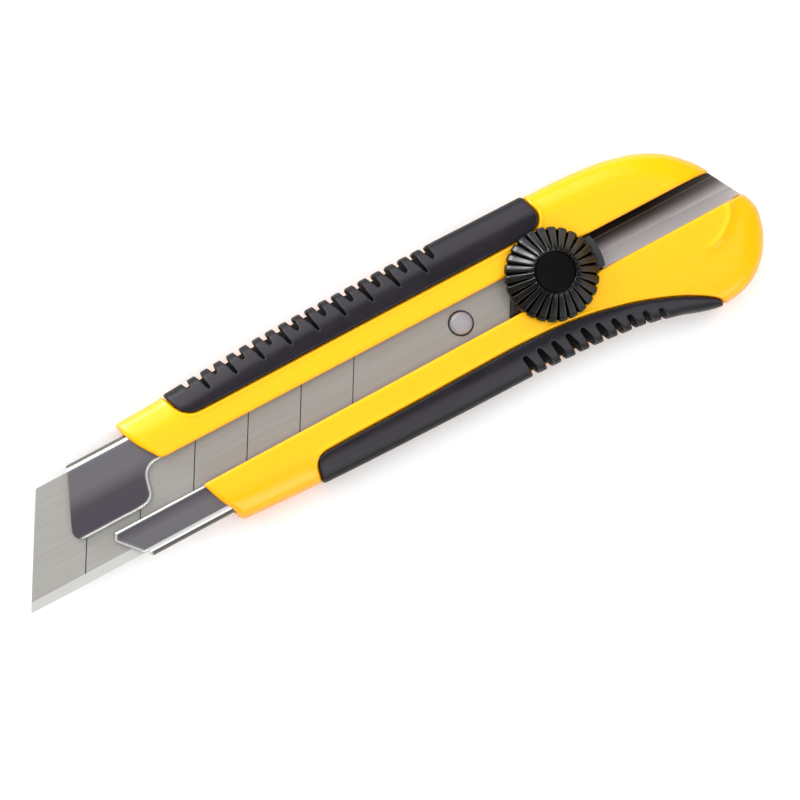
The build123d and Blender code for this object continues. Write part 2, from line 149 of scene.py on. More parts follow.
def curve_through(points: Sequence[Point], per_span: int = 6, closed: bool = True) -> np.ndarray:
    """A smooth line through a few points.

    Args:
        points: The points, in order; a point given twice running makes a corner.
        per_span: How many short runs each span becomes.
        closed: Whether the line returns to its start.

    Returns:
        The points of the fine line.
    """
    p = np.array(points, float)
    n = len(p)
    spans = n if closed else n - 1
    made = []
    for i in range(spans):
        ends = [i - 1, i, i + 1, i + 2]
        ends = [e % n for e in ends] if closed else [min(max(e, 0), n - 1) for e in ends]
        p0, p1, p2, p3 = (p[e] for e in ends)
        if np.allclose(p1, p2):
            continue
        chord = np.linalg.norm(p2 - p1)
        m1 = (p2 - p0) / max(np.linalg.norm(p2 - p1) + np.linalg.norm(p1 - p0), 1e-6) * chord
        m2 = (p3 - p1) / max(np.linalg.norm(p3 - p2) + np.linalg.norm(p2 - p1), 1e-6) * chord
        t = (np.arange(per_span) / per_span)[:, None]
        made.append(
            (2 * t**3 - 3 * t**2 + 1) * p1
            + (t**3 - 2 * t**2 + t) * m1
            + (-2 * t**3 + 3 * t**2) * p2
            + (t**3 - t**2) * m2
        )
    if not closed:
        made.append(p[-1:])
    return np.concatenate(made)


class PlanField:
    """Distance in plan from a closed outline, negative inside it, kept on a fine grid."""

    def __init__(self, outline: np.ndarray, step: float = 0.25) -> None:
        """Measures the outline once.

        Args:
            outline: Points round the outline, in mm.
            step: Grid spacing, in mm.
        """
        self.step = step
        self.x0, self.y0 = -96.0, -32.0
        x = np.arange(self.x0, 100.0, step)[:, None]
        y = np.arange(self.y0, 28.0, step)[None, :]
        near = np.full((x.size, y.size), 1e9)
        inside = np.zeros((x.size, y.size), bool)
        for a, b in zip(outline, np.roll(outline, -1, axis=0)):
            run = b - a
            t = np.clip(((x - a[0]) * run[0] + (y - a[1]) * run[1]) / (run @ run), 0.0, 1.0)
            near = np.minimum(near, (x - a[0] - t * run[0]) ** 2 + (y - a[1] - t * run[1]) ** 2)
            if a[1] != b[1]:
                crosses = (y >= min(a[1], b[1])) & (y < max(a[1], b[1]))
                inside ^= crosses & (x < a[0] + (y - a[1]) / run[1] * run[0])
        self.grid = np.where(inside, -1.0, 1.0) * np.sqrt(near)

    def at(self, x: np.ndarray, y: np.ndarray) -> np.ndarray:
        """The distance at each point, from the four grid points round it.

        Args:
            x: X of the points, in mm.
            y: Y of the points, in mm.

        Returns:
            The distance from the outline.
        """
        u = np.clip((x - self.x0) / self.step, 0, self.grid.shape[0] - 1.001)
        v = np.clip((y - self.y0) / self.step, 0, self.grid.shape[1] - 1.001)
        u, v = np.broadcast_arrays(u, v)
        i, j = u.astype(int), v.astype(int)
        u, v = u - i, v - j
        low = self.grid[i, j] * (1 - u) + self.grid[i + 1, j] * u
        high = self.grid[i, j + 1] * (1 - u) + self.grid[i + 1, j + 1] * u
        return low * (1 - v) + high * v


def skin(form: Field, lines: Sequence[np.ndarray], snaps: int = 3) -> tuple[np.ndarray, np.ndarray]:
    """Meshes the surface where a form's distance is zero, one vertex to a cell and all quads.

    Args:
        form: The form's signed distance, negative inside.
        lines: Grid lines along X, Y and Z, in mm; they needn't be evenly spaced.
        snaps: How many times the vertices are drawn on to the surface.

    Returns:
        The vertices, in mm, and the quads.
    """
    xs, ys, zs = lines
    f = form(xs[:, None, None], ys[None, :, None], zs[None, None, :])
    f = np.broadcast_to(f, (xs.size, ys.size, zs.size))
    cells = np.array([xs.size - 1, ys.size - 1, zs.size - 1])
    ids, crossings, quads = [], [], []
    for axis in range(3):
        u, v = (axis + 1) % 3, (axis + 2) % 3
        a = f[tuple(slice(0, -1) if k == axis else slice(None) for k in range(3))]
        b = f[tuple(slice(1, None) if k == axis else slice(None) for k in range(3))]
        changes = (a < 0) != (b < 0)
        at = np.argwhere(changes)
        fa, fb = a[changes], b[changes]
        spots = np.stack([lines[k][at[:, k]] for k in range(3)], axis=1)
        spots[:, axis] += fa / (fa - fb) * (lines[axis][at[:, axis] + 1] - lines[axis][at[:, axis]])
        corners = []
        for du, dv in ((-1, -1), (0, -1), (0, 0), (-1, 0)):
            cell = at.copy()
            cell[:, u] += du
            cell[:, v] += dv
            corners.append((cell[:, 0] * cells[1] + cell[:, 1]) * cells[2] + cell[:, 2])
        inner = (at[:, u] > 0) & (at[:, u] < cells[u]) & (at[:, v] > 0) & (at[:, v] < cells[v])
        corner = np.stack(corners, axis=1)[inner]
        corner = np.where((fa[inner] < 0)[:, None], corner, corner[:, ::-1])
        quads.append(corner)
        ids.append(corner.ravel())
        crossings.append(np.repeat(spots[inner], 4, axis=0))
    names, index = np.unique(np.concatenate(ids), return_inverse=True)
    crossing = np.concatenate(crossings)
    weight = np.bincount(index)
    points = np.stack([np.bincount(index, crossing[:, k]) / weight for k in range(3)], axis=1)
    for _ in range(snaps):
        step = 0.02
        here = form(*points.T)
        slope = np.empty_like(points)
        for k in range(3):
            nudge = np.zeros(3)
            nudge[k] = step
            slope[:, k] = (form(*(points + nudge).T) - form(*(points - nudge).T)) / (2 * step)
        size = np.maximum((slope**2).sum(axis=1), 0.05)
        points = points - np.clip(here / size, -0.5, 0.5)[:, None] * slope
    return points, np.searchsorted(names, np.concatenate(quads))


def mesh_piece(name: str, points: Sequence, faces: Sequence, smooth_angle: float = 40.0) -> bpy.types.Object:
    """Makes an object from points in millimetres.

    Args:
        name: The piece's name.
        points: Vertices, in mm.
        faces: Faces, as vertex indices.
        smooth_angle: Edges sharper than this many degrees stay crisp.

    Returns:
        The new object, linked into the scene.
    """
    mesh = bpy.data.meshes.new(name)
    mesh.from_pydata((np.asarray(points) * MM).tolist(), [], [list(map(int, face)) for face in faces])
    mesh.validate()
    mesh.shade_smooth()
    mesh.set_sharp_from_angle(angle=math.radians(smooth_angle))
    made = bpy.data.objects.new(name, mesh)
    bpy.context.scene.collection.objects.link(made)
    return made


def mark(piece: bpy.types.Object, values: Field) -> None:
    """Keeps a value at every vertex, which the piece's finish reads as its mark: where it paints shade into
    grooves or a highlight on to rims.

    Args:
        piece: The piece.
        values: Gives the mark, from 0 to 1, at each point in mm.
    """
    count = len(piece.data.vertices)
    spots = np.empty(count * 3, np.float32)
    piece.data.vertices.foreach_get("co", spots)
    spots = spots.reshape(count, 3).astype(float) / MM
    layer = piece.data.attributes.new("mark", "FLOAT", "POINT")
    layer.data.foreach_set("value", np.clip(values(*spots.T), 0.0, 1.0).astype(np.float32))


def lathe(name: str, profile: Sequence[Point], centre: Point, turns: int = 96) -> bpy.types.Object:
    """Turns a profile about an upright axis.

    Args:
        name: The piece's name.
        profile: Pairs of radius and height in mm, from the top's middle to the bottom's middle.
        centre: The axis in plan.
        turns: Number of steps round the axis.

    Returns:
        The turned piece, closed at both ends.
    """
    angles = np.arange(turns) * 2 * math.pi / turns
    out = np.stack([np.cos(angles), np.sin(angles), np.zeros(turns)], axis=1)
    rings = [np.array([centre[0], centre[1], z]) + r * out for r, z in profile[1:-1]]
    ends = np.array([[centre[0], centre[1], profile[0][1]], [centre[0], centre[1], profile[-1][1]]])
    points = np.concatenate(rings + [ends])
    top, bottom = len(points) - 2, len(points) - 1
    faces: list[list[int]] = []
    for i in range(turns):
        j = (i + 1) % turns
        faces.append([top, i, j])
        for ring in range(len(rings) - 1):
            a, b = ring * turns, (ring + 1) * turns
            faces.append([a + i, b + i, b + j, a + j])
        last = (len(rings) - 1) * turns
        faces.append([last + i, bottom, last + j])
    return mesh_piece(name, points, faces, 50.0)


# ---- Finishes ----------------------------------------------------------------------------------


class NodeKit:
    """A material's node tree, with short calls for the nodes that the finishes use."""

    def __init__(self, name: str) -> None:
        """Starts a material whose tree holds only its shader and its output.

        Args:
            name: The material's name.
        """
        self.material = bpy.data.materials.new(name)
        self.material.use_nodes = True
        self.tree = self.material.node_tree
        self.tree.nodes.clear()
        self.output = self.tree.nodes.new("ShaderNodeOutputMaterial")
        self.shader = self.tree.nodes.new("ShaderNodeBsdfPrincipled")
        self.tree.links.new(self.shader.outputs["BSDF"], self.output.inputs["Surface"])
        self.coords = self.tree.nodes.new("ShaderNodeTexCoord")
        self.place = self.coords.outputs["Object"]

    def feed(self, target: Socket, value: Socket | float | Colour) -> None:
        """Gives a socket its value.

        Args:
            target: The socket that takes it.
            value: A number, a colour, or another socket to link.
        """
        if isinstance(value, bpy.types.NodeSocket):
            self.tree.links.new(value, target)
        elif isinstance(value, tuple):
            target.default_value = (*value, 1.0)
        else:
            target.default_value = value

    def paint(self, name: str, value: Socket | float | Colour) -> None:
        """Gives one of the shader's sockets its value."""
        self.feed(self.shader.inputs[name], value)

    def set(self, **values: float) -> None:
        """Sets numbers on the shader's sockets, with _ for a space in a socket's name."""
        for name, value in values.items():
            self.shader.inputs[name.replace("_", " ")].default_value = value

    def stretch(self, scale: Triple, turn: float = 0.0) -> Socket:
        """The object's coordinates, turned and scaled.

        Args:
            scale: The scale along each axis.
            turn: The turn about Z, in degrees.

        Returns:
            The new coordinates.
        """
        node = self.tree.nodes.new("ShaderNodeMapping")
        node.inputs["Scale"].default_value = scale
        node.inputs["Rotation"].default_value = (0.0, 0.0, math.radians(turn))
        self.feed(node.inputs["Vector"], self.place)
        return node.outputs["Vector"]

    def noise(self, where: Socket, scale: float, detail: float = 3.0) -> Socket:
        """Smooth noise.

        Args:
            where: The coordinates.
            scale: How many patches there are to a unit.
            detail: How many finer layers it has.

        Returns:
            A value from 0 to 1.
        """
        node = self.tree.nodes.new("ShaderNodeTexNoise")
        self.feed(node.inputs["Scale"], scale)
        self.feed(node.inputs["Detail"], detail)
        self.feed(node.inputs["Vector"], where)
        return node.outputs["Fac"]

    def math(self, kind: str, a: Socket | float, b: Socket | float = 0.0) -> Socket:
        """One sum.

        Args:
            kind: The sum's name, such as ADD.
            a: Its first value.
            b: Its second value, for sums that take two.

        Returns:
            The result.
        """
        node = self.tree.nodes.new("ShaderNodeMath")
        node.operation = kind
        for socket, value in zip(node.inputs, (a, b)):
            self.feed(socket, value)
        return node.outputs[0]

    def spread(self, value: Socket, low: float, high: float, to: Point = RISING) -> Socket:
        """Maps a value to a new range, held at its ends.

        Args:
            value: The value.
            low: Where the new range starts.
            high: Where it ends.
            to: The new values at low and at high.

        Returns:
            The mapped value.
        """
        node = self.tree.nodes.new("ShaderNodeMapRange")
        numbers = {"Value": value, "From Min": low, "From Max": high, "To Min": to[0], "To Max": to[1]}
        for name, number in numbers.items():
            self.feed(node.inputs[name], number)
        return node.outputs["Result"]

    def mix(self, amount: Socket, a: Socket | Colour, b: Socket | Colour) -> Socket:
        """Blends two colours.

        Args:
            amount: 0 for the first colour, 1 for the second.
            a: The first colour.
            b: The second colour.

        Returns:
            The blended colour.
        """
        node = self.tree.nodes.new("ShaderNodeMix")
        node.data_type = "RGBA"
        for name, value in (("Factor", amount), ("A", a), ("B", b)):
            self.feed(node.inputs[name], value)
        return node.outputs["Result"]

    def bands(self, value: Socket, stops: Sequence[tuple[float, Colour]]) -> Socket:
        """Colours along one of the object's axes, blended from stop to stop.

        Args:
            value: The coordinate along the axis, in metres.
            stops: Pairs of a position in mm and its colour.

        Returns:
            The colour.
        """
        low, high = stops[0][0], stops[-1][0]
        node = self.tree.nodes.new("ShaderNodeValToRGB")
        elements = node.color_ramp.elements
        while len(elements) < len(stops):
            elements.new(0.5)
        for element, (position, colour) in zip(elements, stops):
            element.position = (position - low) / (high - low)
            element.color = (*colour, 1.0)
        self.feed(node.inputs["Fac"], self.spread(value, low * MM, high * MM))
        return node.outputs["Color"]

    def mark(self) -> Socket:
        """The mark kept at the piece's vertices.

        Returns:
            The mark, 0 on a piece without one.
        """
        node = self.tree.nodes.new("ShaderNodeAttribute")
        node.attribute_name = "mark"
        return node.outputs["Fac"]

    def part(self, vector: Socket, letter: str) -> Socket:
        """One of a vector's three numbers.

        Args:
            vector: The vector.
            letter: X, Y or Z.

        Returns:
            The number.
        """
        node = self.tree.nodes.new("ShaderNodeSeparateXYZ")
        self.feed(node.inputs["Vector"], vector)
        return node.outputs[letter]

    def axis(self, letter: str) -> Socket:
        """One of the object's coordinates, in metres."""
        return self.part(self.place, letter)

    def facing_up(self) -> Socket:
        """How far the piece's own surface faces up, from 0 on a side wall to 1 on top."""
        return self.part(self.coords.outputs["Normal"], "Z")

    def bump(self, height: Socket, strength: float, distance: float) -> None:
        """Roughens the shader's normal.

        Args:
            height: The height of the roughness, from 0 to 1.
            strength: How much of it shows.
            distance: Its depth, in metres.
        """
        node = self.tree.nodes.new("ShaderNodeBump")
        for name, value in (("Strength", strength), ("Distance", distance), ("Height", height)):
            self.feed(node.inputs[name], value)
        self.paint("Normal", node.outputs["Normal"])


@dataclass(frozen=True)
class MouldedPlastic:
    """Moulded plastic with a faint flow pattern in its gloss and fine texture on its skin."""

    name: str
    colour: Colour
    shade: Colour
    roughness: float
    grain: float = 0.12
    specular: float = 0.5
    # wall is painted shade for upright walls; groove is painted shade for grooves.
    wall: Colour | None = None
    groove: Colour | None = None
    flow_scale: Triple = (40.0, 90.0, 60.0)
    grain_scale: float = 2600.0
    grain_depth: float = 0.00003

    def build(self) -> bpy.types.Material:
        """Makes the material, with painted shade on upright walls and in grooves where it says so.

        Returns:
            The material.
        """
        kit = NodeKit(self.name)
        flow = kit.noise(kit.stretch(self.flow_scale), 1.0, 4.0)
        colour = kit.mix(kit.spread(flow, 0.3, 0.7), self.colour, self.shade)
        # Painted shade: a deeper colour on upright walls, and in grooves where the mark says so.
        if self.wall:
            colour = kit.mix(kit.spread(kit.facing_up(), 0.15, 0.8, FALLING), colour, self.wall)
        if self.groove:
            colour = kit.mix(kit.mark(), colour, self.groove)
        kit.paint("Base Color", colour)
        gloss = (self.roughness * 0.88, self.roughness * 1.12)
        kit.paint("Roughness", kit.spread(flow, 0.25, 0.75, gloss))
        kit.bump(kit.noise(kit.place, self.grain_scale, 2.0), self.grain, self.grain_depth)
        kit.set(Specular_IOR_Level=self.specular)
        return kit.material


@dataclass(frozen=True)
class SoftRubber:
    """Soft matt elastomer: a painted highlight on its shoulders, paler where it is rubbed, painted shade on
    its side walls and black painted shade in its grooves.
    """

    name: str = "soft_grip"
    colour: Colour = (0.013, 0.0115, 0.0145)
    worn: Colour = (0.018, 0.016, 0.020)
    # shoulder is a painted highlight; side and groove are painted shade.
    shoulder: Colour = (0.034, 0.031, 0.036)
    side: Colour = (0.006, 0.005, 0.007)
    groove: Colour = (0.001, 0.001, 0.001)
    roughness: float = 0.42
    groove_roughness: float = 0.4
    specular: float = 0.15
    patch_scale: float = 120.0
    skin_scale: float = 1500.0
    skin_depth: float = 0.00006

    def build(self) -> bpy.types.Material:
        """Makes the material.

        Returns:
            The material.
        """
        kit = NodeKit(self.name)
        patch = kit.noise(kit.place, self.patch_scale, 4.0)
        colour = kit.mix(kit.spread(patch, 0.35, 0.7), self.colour, self.worn)
        # Painted highlight on the shoulders and painted shade on the side walls, then black painted shade in
        # the grooves.
        colour = kit.mix(kit.spread(kit.facing_up(), 0.93, 0.97, FALLING), colour, self.shoulder)
        colour = kit.mix(kit.spread(kit.facing_up(), 0.62, 0.80, FALLING), colour, self.side)
        kit.paint("Base Color", kit.mix(kit.mark(), colour, self.groove))
        rough = kit.spread(patch, 0.3, 0.7, (self.roughness - 0.05, self.roughness + 0.07))
        dulled = kit.math("MULTIPLY", kit.mark(), self.groove_roughness)
        kit.paint("Roughness", kit.math("ADD", rough, dulled))
        kit.bump(kit.noise(kit.place, self.skin_scale), 0.35, self.skin_depth)
        kit.set(Specular_IOR_Level=self.specular)
        return kit.material


@dataclass(frozen=True)
class Steel:
    """Steel with a grain along one direction, from bright sheet to dull ground strip."""

    name: str
    colour: Colour
    streak: Colour
    roughness: float
    grain_turn: float = 0.0
    grain_scale: Triple = (700.0, 700.0, 700.0)
    grain_depth: float = 0.1
    metallic: float = 1.0
    cloud_scale: float = 55.0

    def build(self) -> bpy.types.Material:
        """Makes the material.

        Returns:
            The material.
        """
        kit = NodeKit(self.name)
        kit.paint("Base Color", self.grained(kit))
        return kit.material

    def grained(self, kit: NodeKit) -> Socket:
        """Args:
            kit: The material's node kit.

        Returns:
            The steel's colour, which is still to be given to the shader.
        """
        grain = kit.noise(kit.stretch(self.grain_scale, self.grain_turn), 1.0)
        cloud = kit.noise(kit.place, self.cloud_scale)
        both = kit.math("ADD", kit.math("MULTIPLY", grain, 0.6), kit.math("MULTIPLY", cloud, 0.4))
        gloss = (self.roughness * 0.85, self.roughness * 1.15)
        kit.paint("Roughness", kit.spread(both, 0.3, 0.7, gloss))
        kit.bump(grain, self.grain_depth, 0.00002)
        kit.set(Metallic=self.metallic)
        return kit.mix(kit.spread(grain, 0.3, 0.7), self.colour, self.streak)


@dataclass(frozen=True)
class BladeSteel(Steel):
    """Ground strip with a bright polished bevel along its cutting edge and painted shade along its score
    lines.
    """

    edge_y: float = -12.5
    bevel: float = 2.3
    tip_x: float = -106.8
    pitch: float = 14.0
    line: float = 0.2
    slant: float = 30.0
    scored: Point = (0.5, 6.5)
    # Painted shade for the score lines.
    painted_score_shade: Colour = (0.02, 0.02, 0.02)
    polished: Colour = (0.60, 0.595, 0.58)

    def build(self) -> bpy.types.Material:
        """Makes the material, with the bevel and score lines placed by the blade's own sizes.

        Returns:
            The material.
        """
        kit = NodeKit(self.name)
        across = kit.axis("Y")
        lean = math.tan(math.radians(self.slant))
        along = kit.math("SUBTRACT", kit.axis("X"), kit.math("MULTIPLY", across, lean))
        start = (self.tip_x - self.edge_y * lean) * MM
        turns = kit.math("DIVIDE", kit.math("SUBTRACT", along, start), self.pitch * MM)
        off = kit.math("ABSOLUTE", kit.math("SUBTRACT", turns, kit.math("ROUND", turns)))
        # Painted shade along the score lines, between the first and last.
        score_shade_lines = kit.spread(off, self.line * 0.4 / self.pitch, self.line * 0.8 / self.pitch, FALLING)
        first, last = self.scored
        begun = kit.spread(turns, first - 0.1, first)
        ended = kit.spread(turns, last, last + 0.1, FALLING)
        scored = kit.math("MULTIPLY", score_shade_lines, kit.math("MULTIPLY", begun, ended))
        colour = kit.mix(scored, self.grained(kit), self.painted_score_shade)
        bevel_y = self.edge_y + self.bevel
        ground = kit.spread(across, bevel_y * MM, (bevel_y - 0.12) * MM)
        kit.paint("Base Color", kit.mix(ground, colour, self.polished))
        return kit.material


@dataclass(frozen=True)
class ChannelSteel(Steel):
    """Polished sheet with painted light and shade: a painted dark-to-grey reflection on the lips, painted
    highlights on the bends and rims, and a painted shadow from the upper wall on the floor.
    """

    # All these colours are painted light and shade: a dark and a grey painted reflection, a bright painted
    # highlight, and a dark painted shade at the outer edges.
    painted_dark_reflection: Colour = (0.080, 0.072, 0.088)
    painted_grey_reflection: Colour = (0.165, 0.157, 0.172)
    bright: Colour = (0.74, 0.73, 0.71)
    edge: Colour = (0.075, 0.070, 0.058)
    floor_top: float = 8.3
    # Where the floor fades to a painted highlight towards the butt.
    butt_fade: Point = (66.0, 92.0)

    def lips(self, kit: NodeKit) -> Socket:
        """The painted light and shade of the lips and bends, by their place across the sheet: a painted
        reflection on the lips, painted highlights on the bends and rims, and painted shade at the outer
        edges.

        Args:
            kit: The material's node kit.

        Returns:
            The colour.
        """
        # Painted shade at the outer edges, painted highlights on the bends, a painted reflection between
        # them.
        stops = [(-13.7, self.edge), (-13.1, self.edge), (-12.9, self.bright), (-12.0, self.bright)]
        stops += [(-11.8, self.painted_grey_reflection), (-8.5, self.painted_grey_reflection), (-5.5, self.painted_dark_reflection), (-1.0, self.painted_dark_reflection)]
        stops += [(3.0, self.painted_dark_reflection), (7.0, self.painted_grey_reflection), (12.45, self.painted_grey_reflection), (12.6, self.bright)]
        stops += [(13.0, self.bright), (13.2, self.edge)]
        # The mark paints a highlight on the rims.
        return kit.mix(kit.mark(), kit.bands(kit.axis("Y"), stops), self.bright)

    def floor(self, kit: NodeKit) -> Socket:
        """The floor's colour: a painted shadow, black under the upper wall, then grey, and a painted
        highlight by the lower wall.

        Args:
            kit: The material's node kit.

        Returns:
            The colour.
        """
        # Painted shadow and highlight across the floor.
        stops = [(-5.0, (0.50, 0.49, 0.50)), (-4.1, (0.80, 0.79, 0.80)), (-3.3, (0.62, 0.61, 0.62))]
        stops += [(-1.3, (0.44, 0.42, 0.44)), (-1.15, (0.58, 0.56, 0.58)), (0.2, (0.29, 0.27, 0.28))]
        stops += [(1.4, (0.10, 0.08, 0.08)), (2.3, (0.045, 0.035, 0.030)), (2.6, (0.025, 0.018, 0.014))]
        stops += [(2.85, (0.14, 0.10, 0.07)), (3.1, (0.009, 0.006, 0.005)), (4.4, (0.007, 0.005, 0.004))]
        # Painted light towards the butt.
        fade = kit.spread(kit.axis("X"), self.butt_fade[0] * MM, self.butt_fade[1] * MM, (0.0, 0.12))
        return kit.mix(fade, kit.bands(kit.axis("Y"), stops), self.bright)

    def build(self) -> bpy.types.Material:
        """Makes the material.

        Returns:
            The material.
        """
        kit = NodeKit(self.name)
        self.grained(kit)
        low = kit.spread(kit.axis("Z"), self.floor_top * MM, (self.floor_top + 0.1) * MM, FALLING)
        kit.paint("Base Color", kit.mix(low, self.lips(kit), self.floor(kit)))
        return kit.material


class Finishes(Enum):
    """Every finish on the knife."""

    # The yellow's wall colour is painted shade, a deeper orange on upright walls.
    YELLOW = MouldedPlastic(
        "yellow_handle", (0.96, 0.49, 0.0), (0.94, 0.476, 0.0), 0.27, 0.05, 0.42, wall=(0.93, 0.31, 0.0)
    )
    RUBBER = SoftRubber()
    # The wheel's groove colour is black painted shade.
    BLACK_GLOSS = MouldedPlastic(
        "wheel_black", (0.003, 0.003, 0.003), (0.005, 0.005, 0.005), 0.26, 0.05, 0.36, groove=(0.0, 0.0, 0.0)
    )
    BLACK_MATT = MouldedPlastic("cap_black", (0.003, 0.0025, 0.003), (0.005, 0.0045, 0.005), 0.5, 0.2, 0.12)
    NYLON_BLACK = MouldedPlastic("block_nylon", (0.010, 0.010, 0.011), (0.016, 0.016, 0.017), 0.4, 0.2, 0.3)
    NYLON_PALE = MouldedPlastic("washer_nylon", (0.72, 0.70, 0.64), (0.66, 0.64, 0.58), 0.45, 0.2)
    CHANNEL = ChannelSteel(
        "channel_sheet", (0.34, 0.34, 0.35), (0.30, 0.30, 0.31), 0.3, 0.0, (20.0, 900.0, 900.0), 0.05, 0.4
    )
    BLADE = BladeSteel(
        "blade_strip",
        (0.389, 0.378, 0.351),
        (0.357, 0.348, 0.324),
        roughness=0.5,
        grain_turn=60.0,
        grain_scale=(60.0, 2200.0, 2200.0),
        grain_depth=0.12,
        metallic=0.35,
    )
    PIN = Steel("turned_pin", (0.52, 0.51, 0.54), (0.48, 0.47, 0.50), 0.32, grain_depth=0.05, metallic=0.5)
    ZINC = Steel("zinc_plate", (0.50, 0.50, 0.52), (0.44, 0.44, 0.46), 0.36, 0.0, (500.0, 500.0, 500.0))
    SPRING = Steel("blued_spring", (0.22, 0.24, 0.32), (0.18, 0.19, 0.26), 0.3, 0.0, (30.0, 900.0, 900.0))
    BRASS = Steel("turned_brass", (0.72, 0.52, 0.22), (0.66, 0.46, 0.18), 0.28, 0.0, (600.0, 600.0, 900.0))
    RIVET = Steel("rivet_alloy", (0.66, 0.66, 0.67), (0.58, 0.58, 0.60), 0.35)
    OXIDE = Steel("black_oxide", (0.08, 0.08, 0.09), (0.06, 0.06, 0.07), 0.4, grain_depth=0.15)

    def material(self) -> bpy.types.Material:
        """The finish's material, made the first time that it is asked for."""
        return bpy.data.materials.get(self.value.name) or self.value.build()


def dress(piece: bpy.types.Object, finish: Finishes, body: str, slot: str, *nodes: str) -> bpy.types.Object:
    """Gives a new piece its finish and its place in the frame.

    Args:
        piece: The piece.
        finish: Its finish.
        body: The body that it moves with.
        slot: The record's material slot; it is not used.
        nodes: The CAD nodes that it stands for.

    Returns:
        The same piece.
    """
    piece.data.materials.clear()
    piece.data.materials.append(finish.material())
    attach(piece, body)
    if nodes:
        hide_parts(*nodes)
    log.info("%s: %d vertices", piece.name, len(piece.data.vertices))
    return piece


# ---- Handle ------------------------------------------------------------------------------------


@dataclass
class HandleShape:
    """The handle's outer form, shared by its body and its grips."""

    thickness: float = 14.0
    crown: float = 0.0030
    shoulder: Point = (-5.2, 13.55)
    shoulder_lean: float = 29.0
    slot_upper: Point = (5.0, -0.0042)
    slot_lower: Point = (-4.9, 0.0043)
    slot_front: Point = (-63.0, -58.0)
    nose_bend: float = 1.3
    shoulder_bend: float = 2.6
    face_bend: float = 1.0
    back_bend: float = 3.4
    inlay: float = 1.3
    proud: float = 0.45
    low_z: float = 1.6
    rear_lean: float = 1.7
    side: PlanField = field(init=False)
    ahead: PlanField = field(init=False)
    upper: PlanField = field(init=False)
    lower: PlanField = field(init=False)

    def __post_init__(self) -> None:
        """Measures the outlines."""
        outline = [(-110, -14.5), (-60, -16.4), (-53.8, -16.6), (-44.2, -17.1), (-33.7, -17.6)]
        outline += [(-16.1, -18.1)]
        outline += [(7.5, -18.5), (21.7, -18.6), (37.2, -19.0), (43.2, -19.4), (48.0, -19.9), (52.8, -20.4)]
        outline += [(58.8, -21.8), (62.4, -22.7), (67.2, -24.3), (71.2, -25.3), (74.5, -25.3), (78.1, -24.5)]
        outline += [(81.8, -22.6), (85.4, -19.2), (87.9, -15.1), (89.1, -11.5), (89.5, -9.2), (89.1, -6.7)]
        outline += [(88.1, -4.3), (88.1, -4.3), (82.9, 4.9), (82.9, 4.9), (81.3, 7.4), (79.5, 9.4)]
        outline += [(77.1, 11.8), (74.7, 13.6), (72.2, 15.0), (68.6, 16.5), (65.0, 17.5), (60.0, 18.5)]
        outline += [(50.6, 19.3), (42.2, 19.5), (31.4, 19.6), (14.8, 19.8), (-6.6, 19.7), (-21.8, 19.5)]
        outline += [(-34.7, 19.0), (-45.8, 18.3), (-55.7, 17.7), (-69.0, 17.2), (-110, 16.0)]
        self.side = PlanField(curve_through(outline, 5))
        nose = [(-75.0, 28.0), (-69.7, 17.0), (-68.6, 12.9), (-63.6, 5.1), (-60.8, 0.0), (-58.0, -5.0)]
        nose += [(-55.8, -11.2), (-53.8, -16.6), (-51.0, -26.0)]
        ahead = curve_through(nose, 6, closed=False)
        self.ahead = PlanField(np.concatenate([ahead, [(-120.0, -26.0), (-120.0, 28.0)]]))
        window = [(-57.2, 24.0), (-55.6, 15.2), (-54.4, 12.7), (-52.4, 11.2), (-50.0, 10.8), (-20.0, 10.8)]
        window += [(10.0, 10.8), (36.0, 10.8), (38.4, 11.2), (40.2, 12.4), (41.2, 14.6), (40.6, 17.2)]
        window += [(39.0, 24.0)]
        self.upper = PlanField(curve_through(window, 6))
        window = [(-33.0, -30.0), (-32.6, -15.4), (-32.1, -13.6), (-30.8, -12.2), (-28.6, -11.6)]
        window += [(-4.7, -11.4)]
        window += [(18.8, -11.1), (28.3, -11.3), (35.4, -11.8), (42.5, -12.9), (47.3, -14.0), (52.0, -15.2)]
        window += [(59.2, -17.7), (63.9, -19.8), (68.7, -22.6), (71.0, -24.8), (72.6, -30.0)]
        self.lower = PlanField(curve_through(window, 6))

    def outer(self, x: np.ndarray, y: np.ndarray, z: np.ndarray, grow: float = 0.0) -> np.ndarray:
        """Distance from the outer form without its slot.

        Args:
            x: X of the points, in mm.
            y: Y of the points, in mm.
            z: Z of the points, in mm.
            grow: How far the form is moved outwards.

        Returns:
            The signed distance.
        """
        side = self.side.at(x, y)
        edge = soft_max(side, -self.ahead.at(x, y), self.nose_bend)
        face = z - self.thickness + self.crown * y * y
        lean = math.radians(self.shoulder_lean)
        slope = (side - self.shoulder[0]) * math.sin(lean) + (z - self.shoulder[1]) * math.cos(lean)
        form = soft_max(soft_max(edge, slope, self.shoulder_bend), face, self.face_bend)
        return soft_max(form, -z, self.back_bend) - grow

    def slot(self, x: np.ndarray, y: np.ndarray) -> np.ndarray:
        """Distance from the slot along the face.

        Args:
            x: X of the points, in mm.
            y: Y of the points, in mm.

        Returns:
            The distance, negative inside the slot.
        """
        upper = self.slot_upper[0] + self.slot_upper[1] * (x - self.slot_front[0])
        lower = self.slot_lower[0] + self.slot_lower[1] * (x - self.slot_front[1])
        return np.maximum(y - upper, lower - y)

    def rear_inset(self, z: np.ndarray) -> np.ndarray:
        """How much farther in the channel's rear end stands, growing towards the handle's rim."""
        return self.rear_lean * ramp(z, 9.6, 11.2)


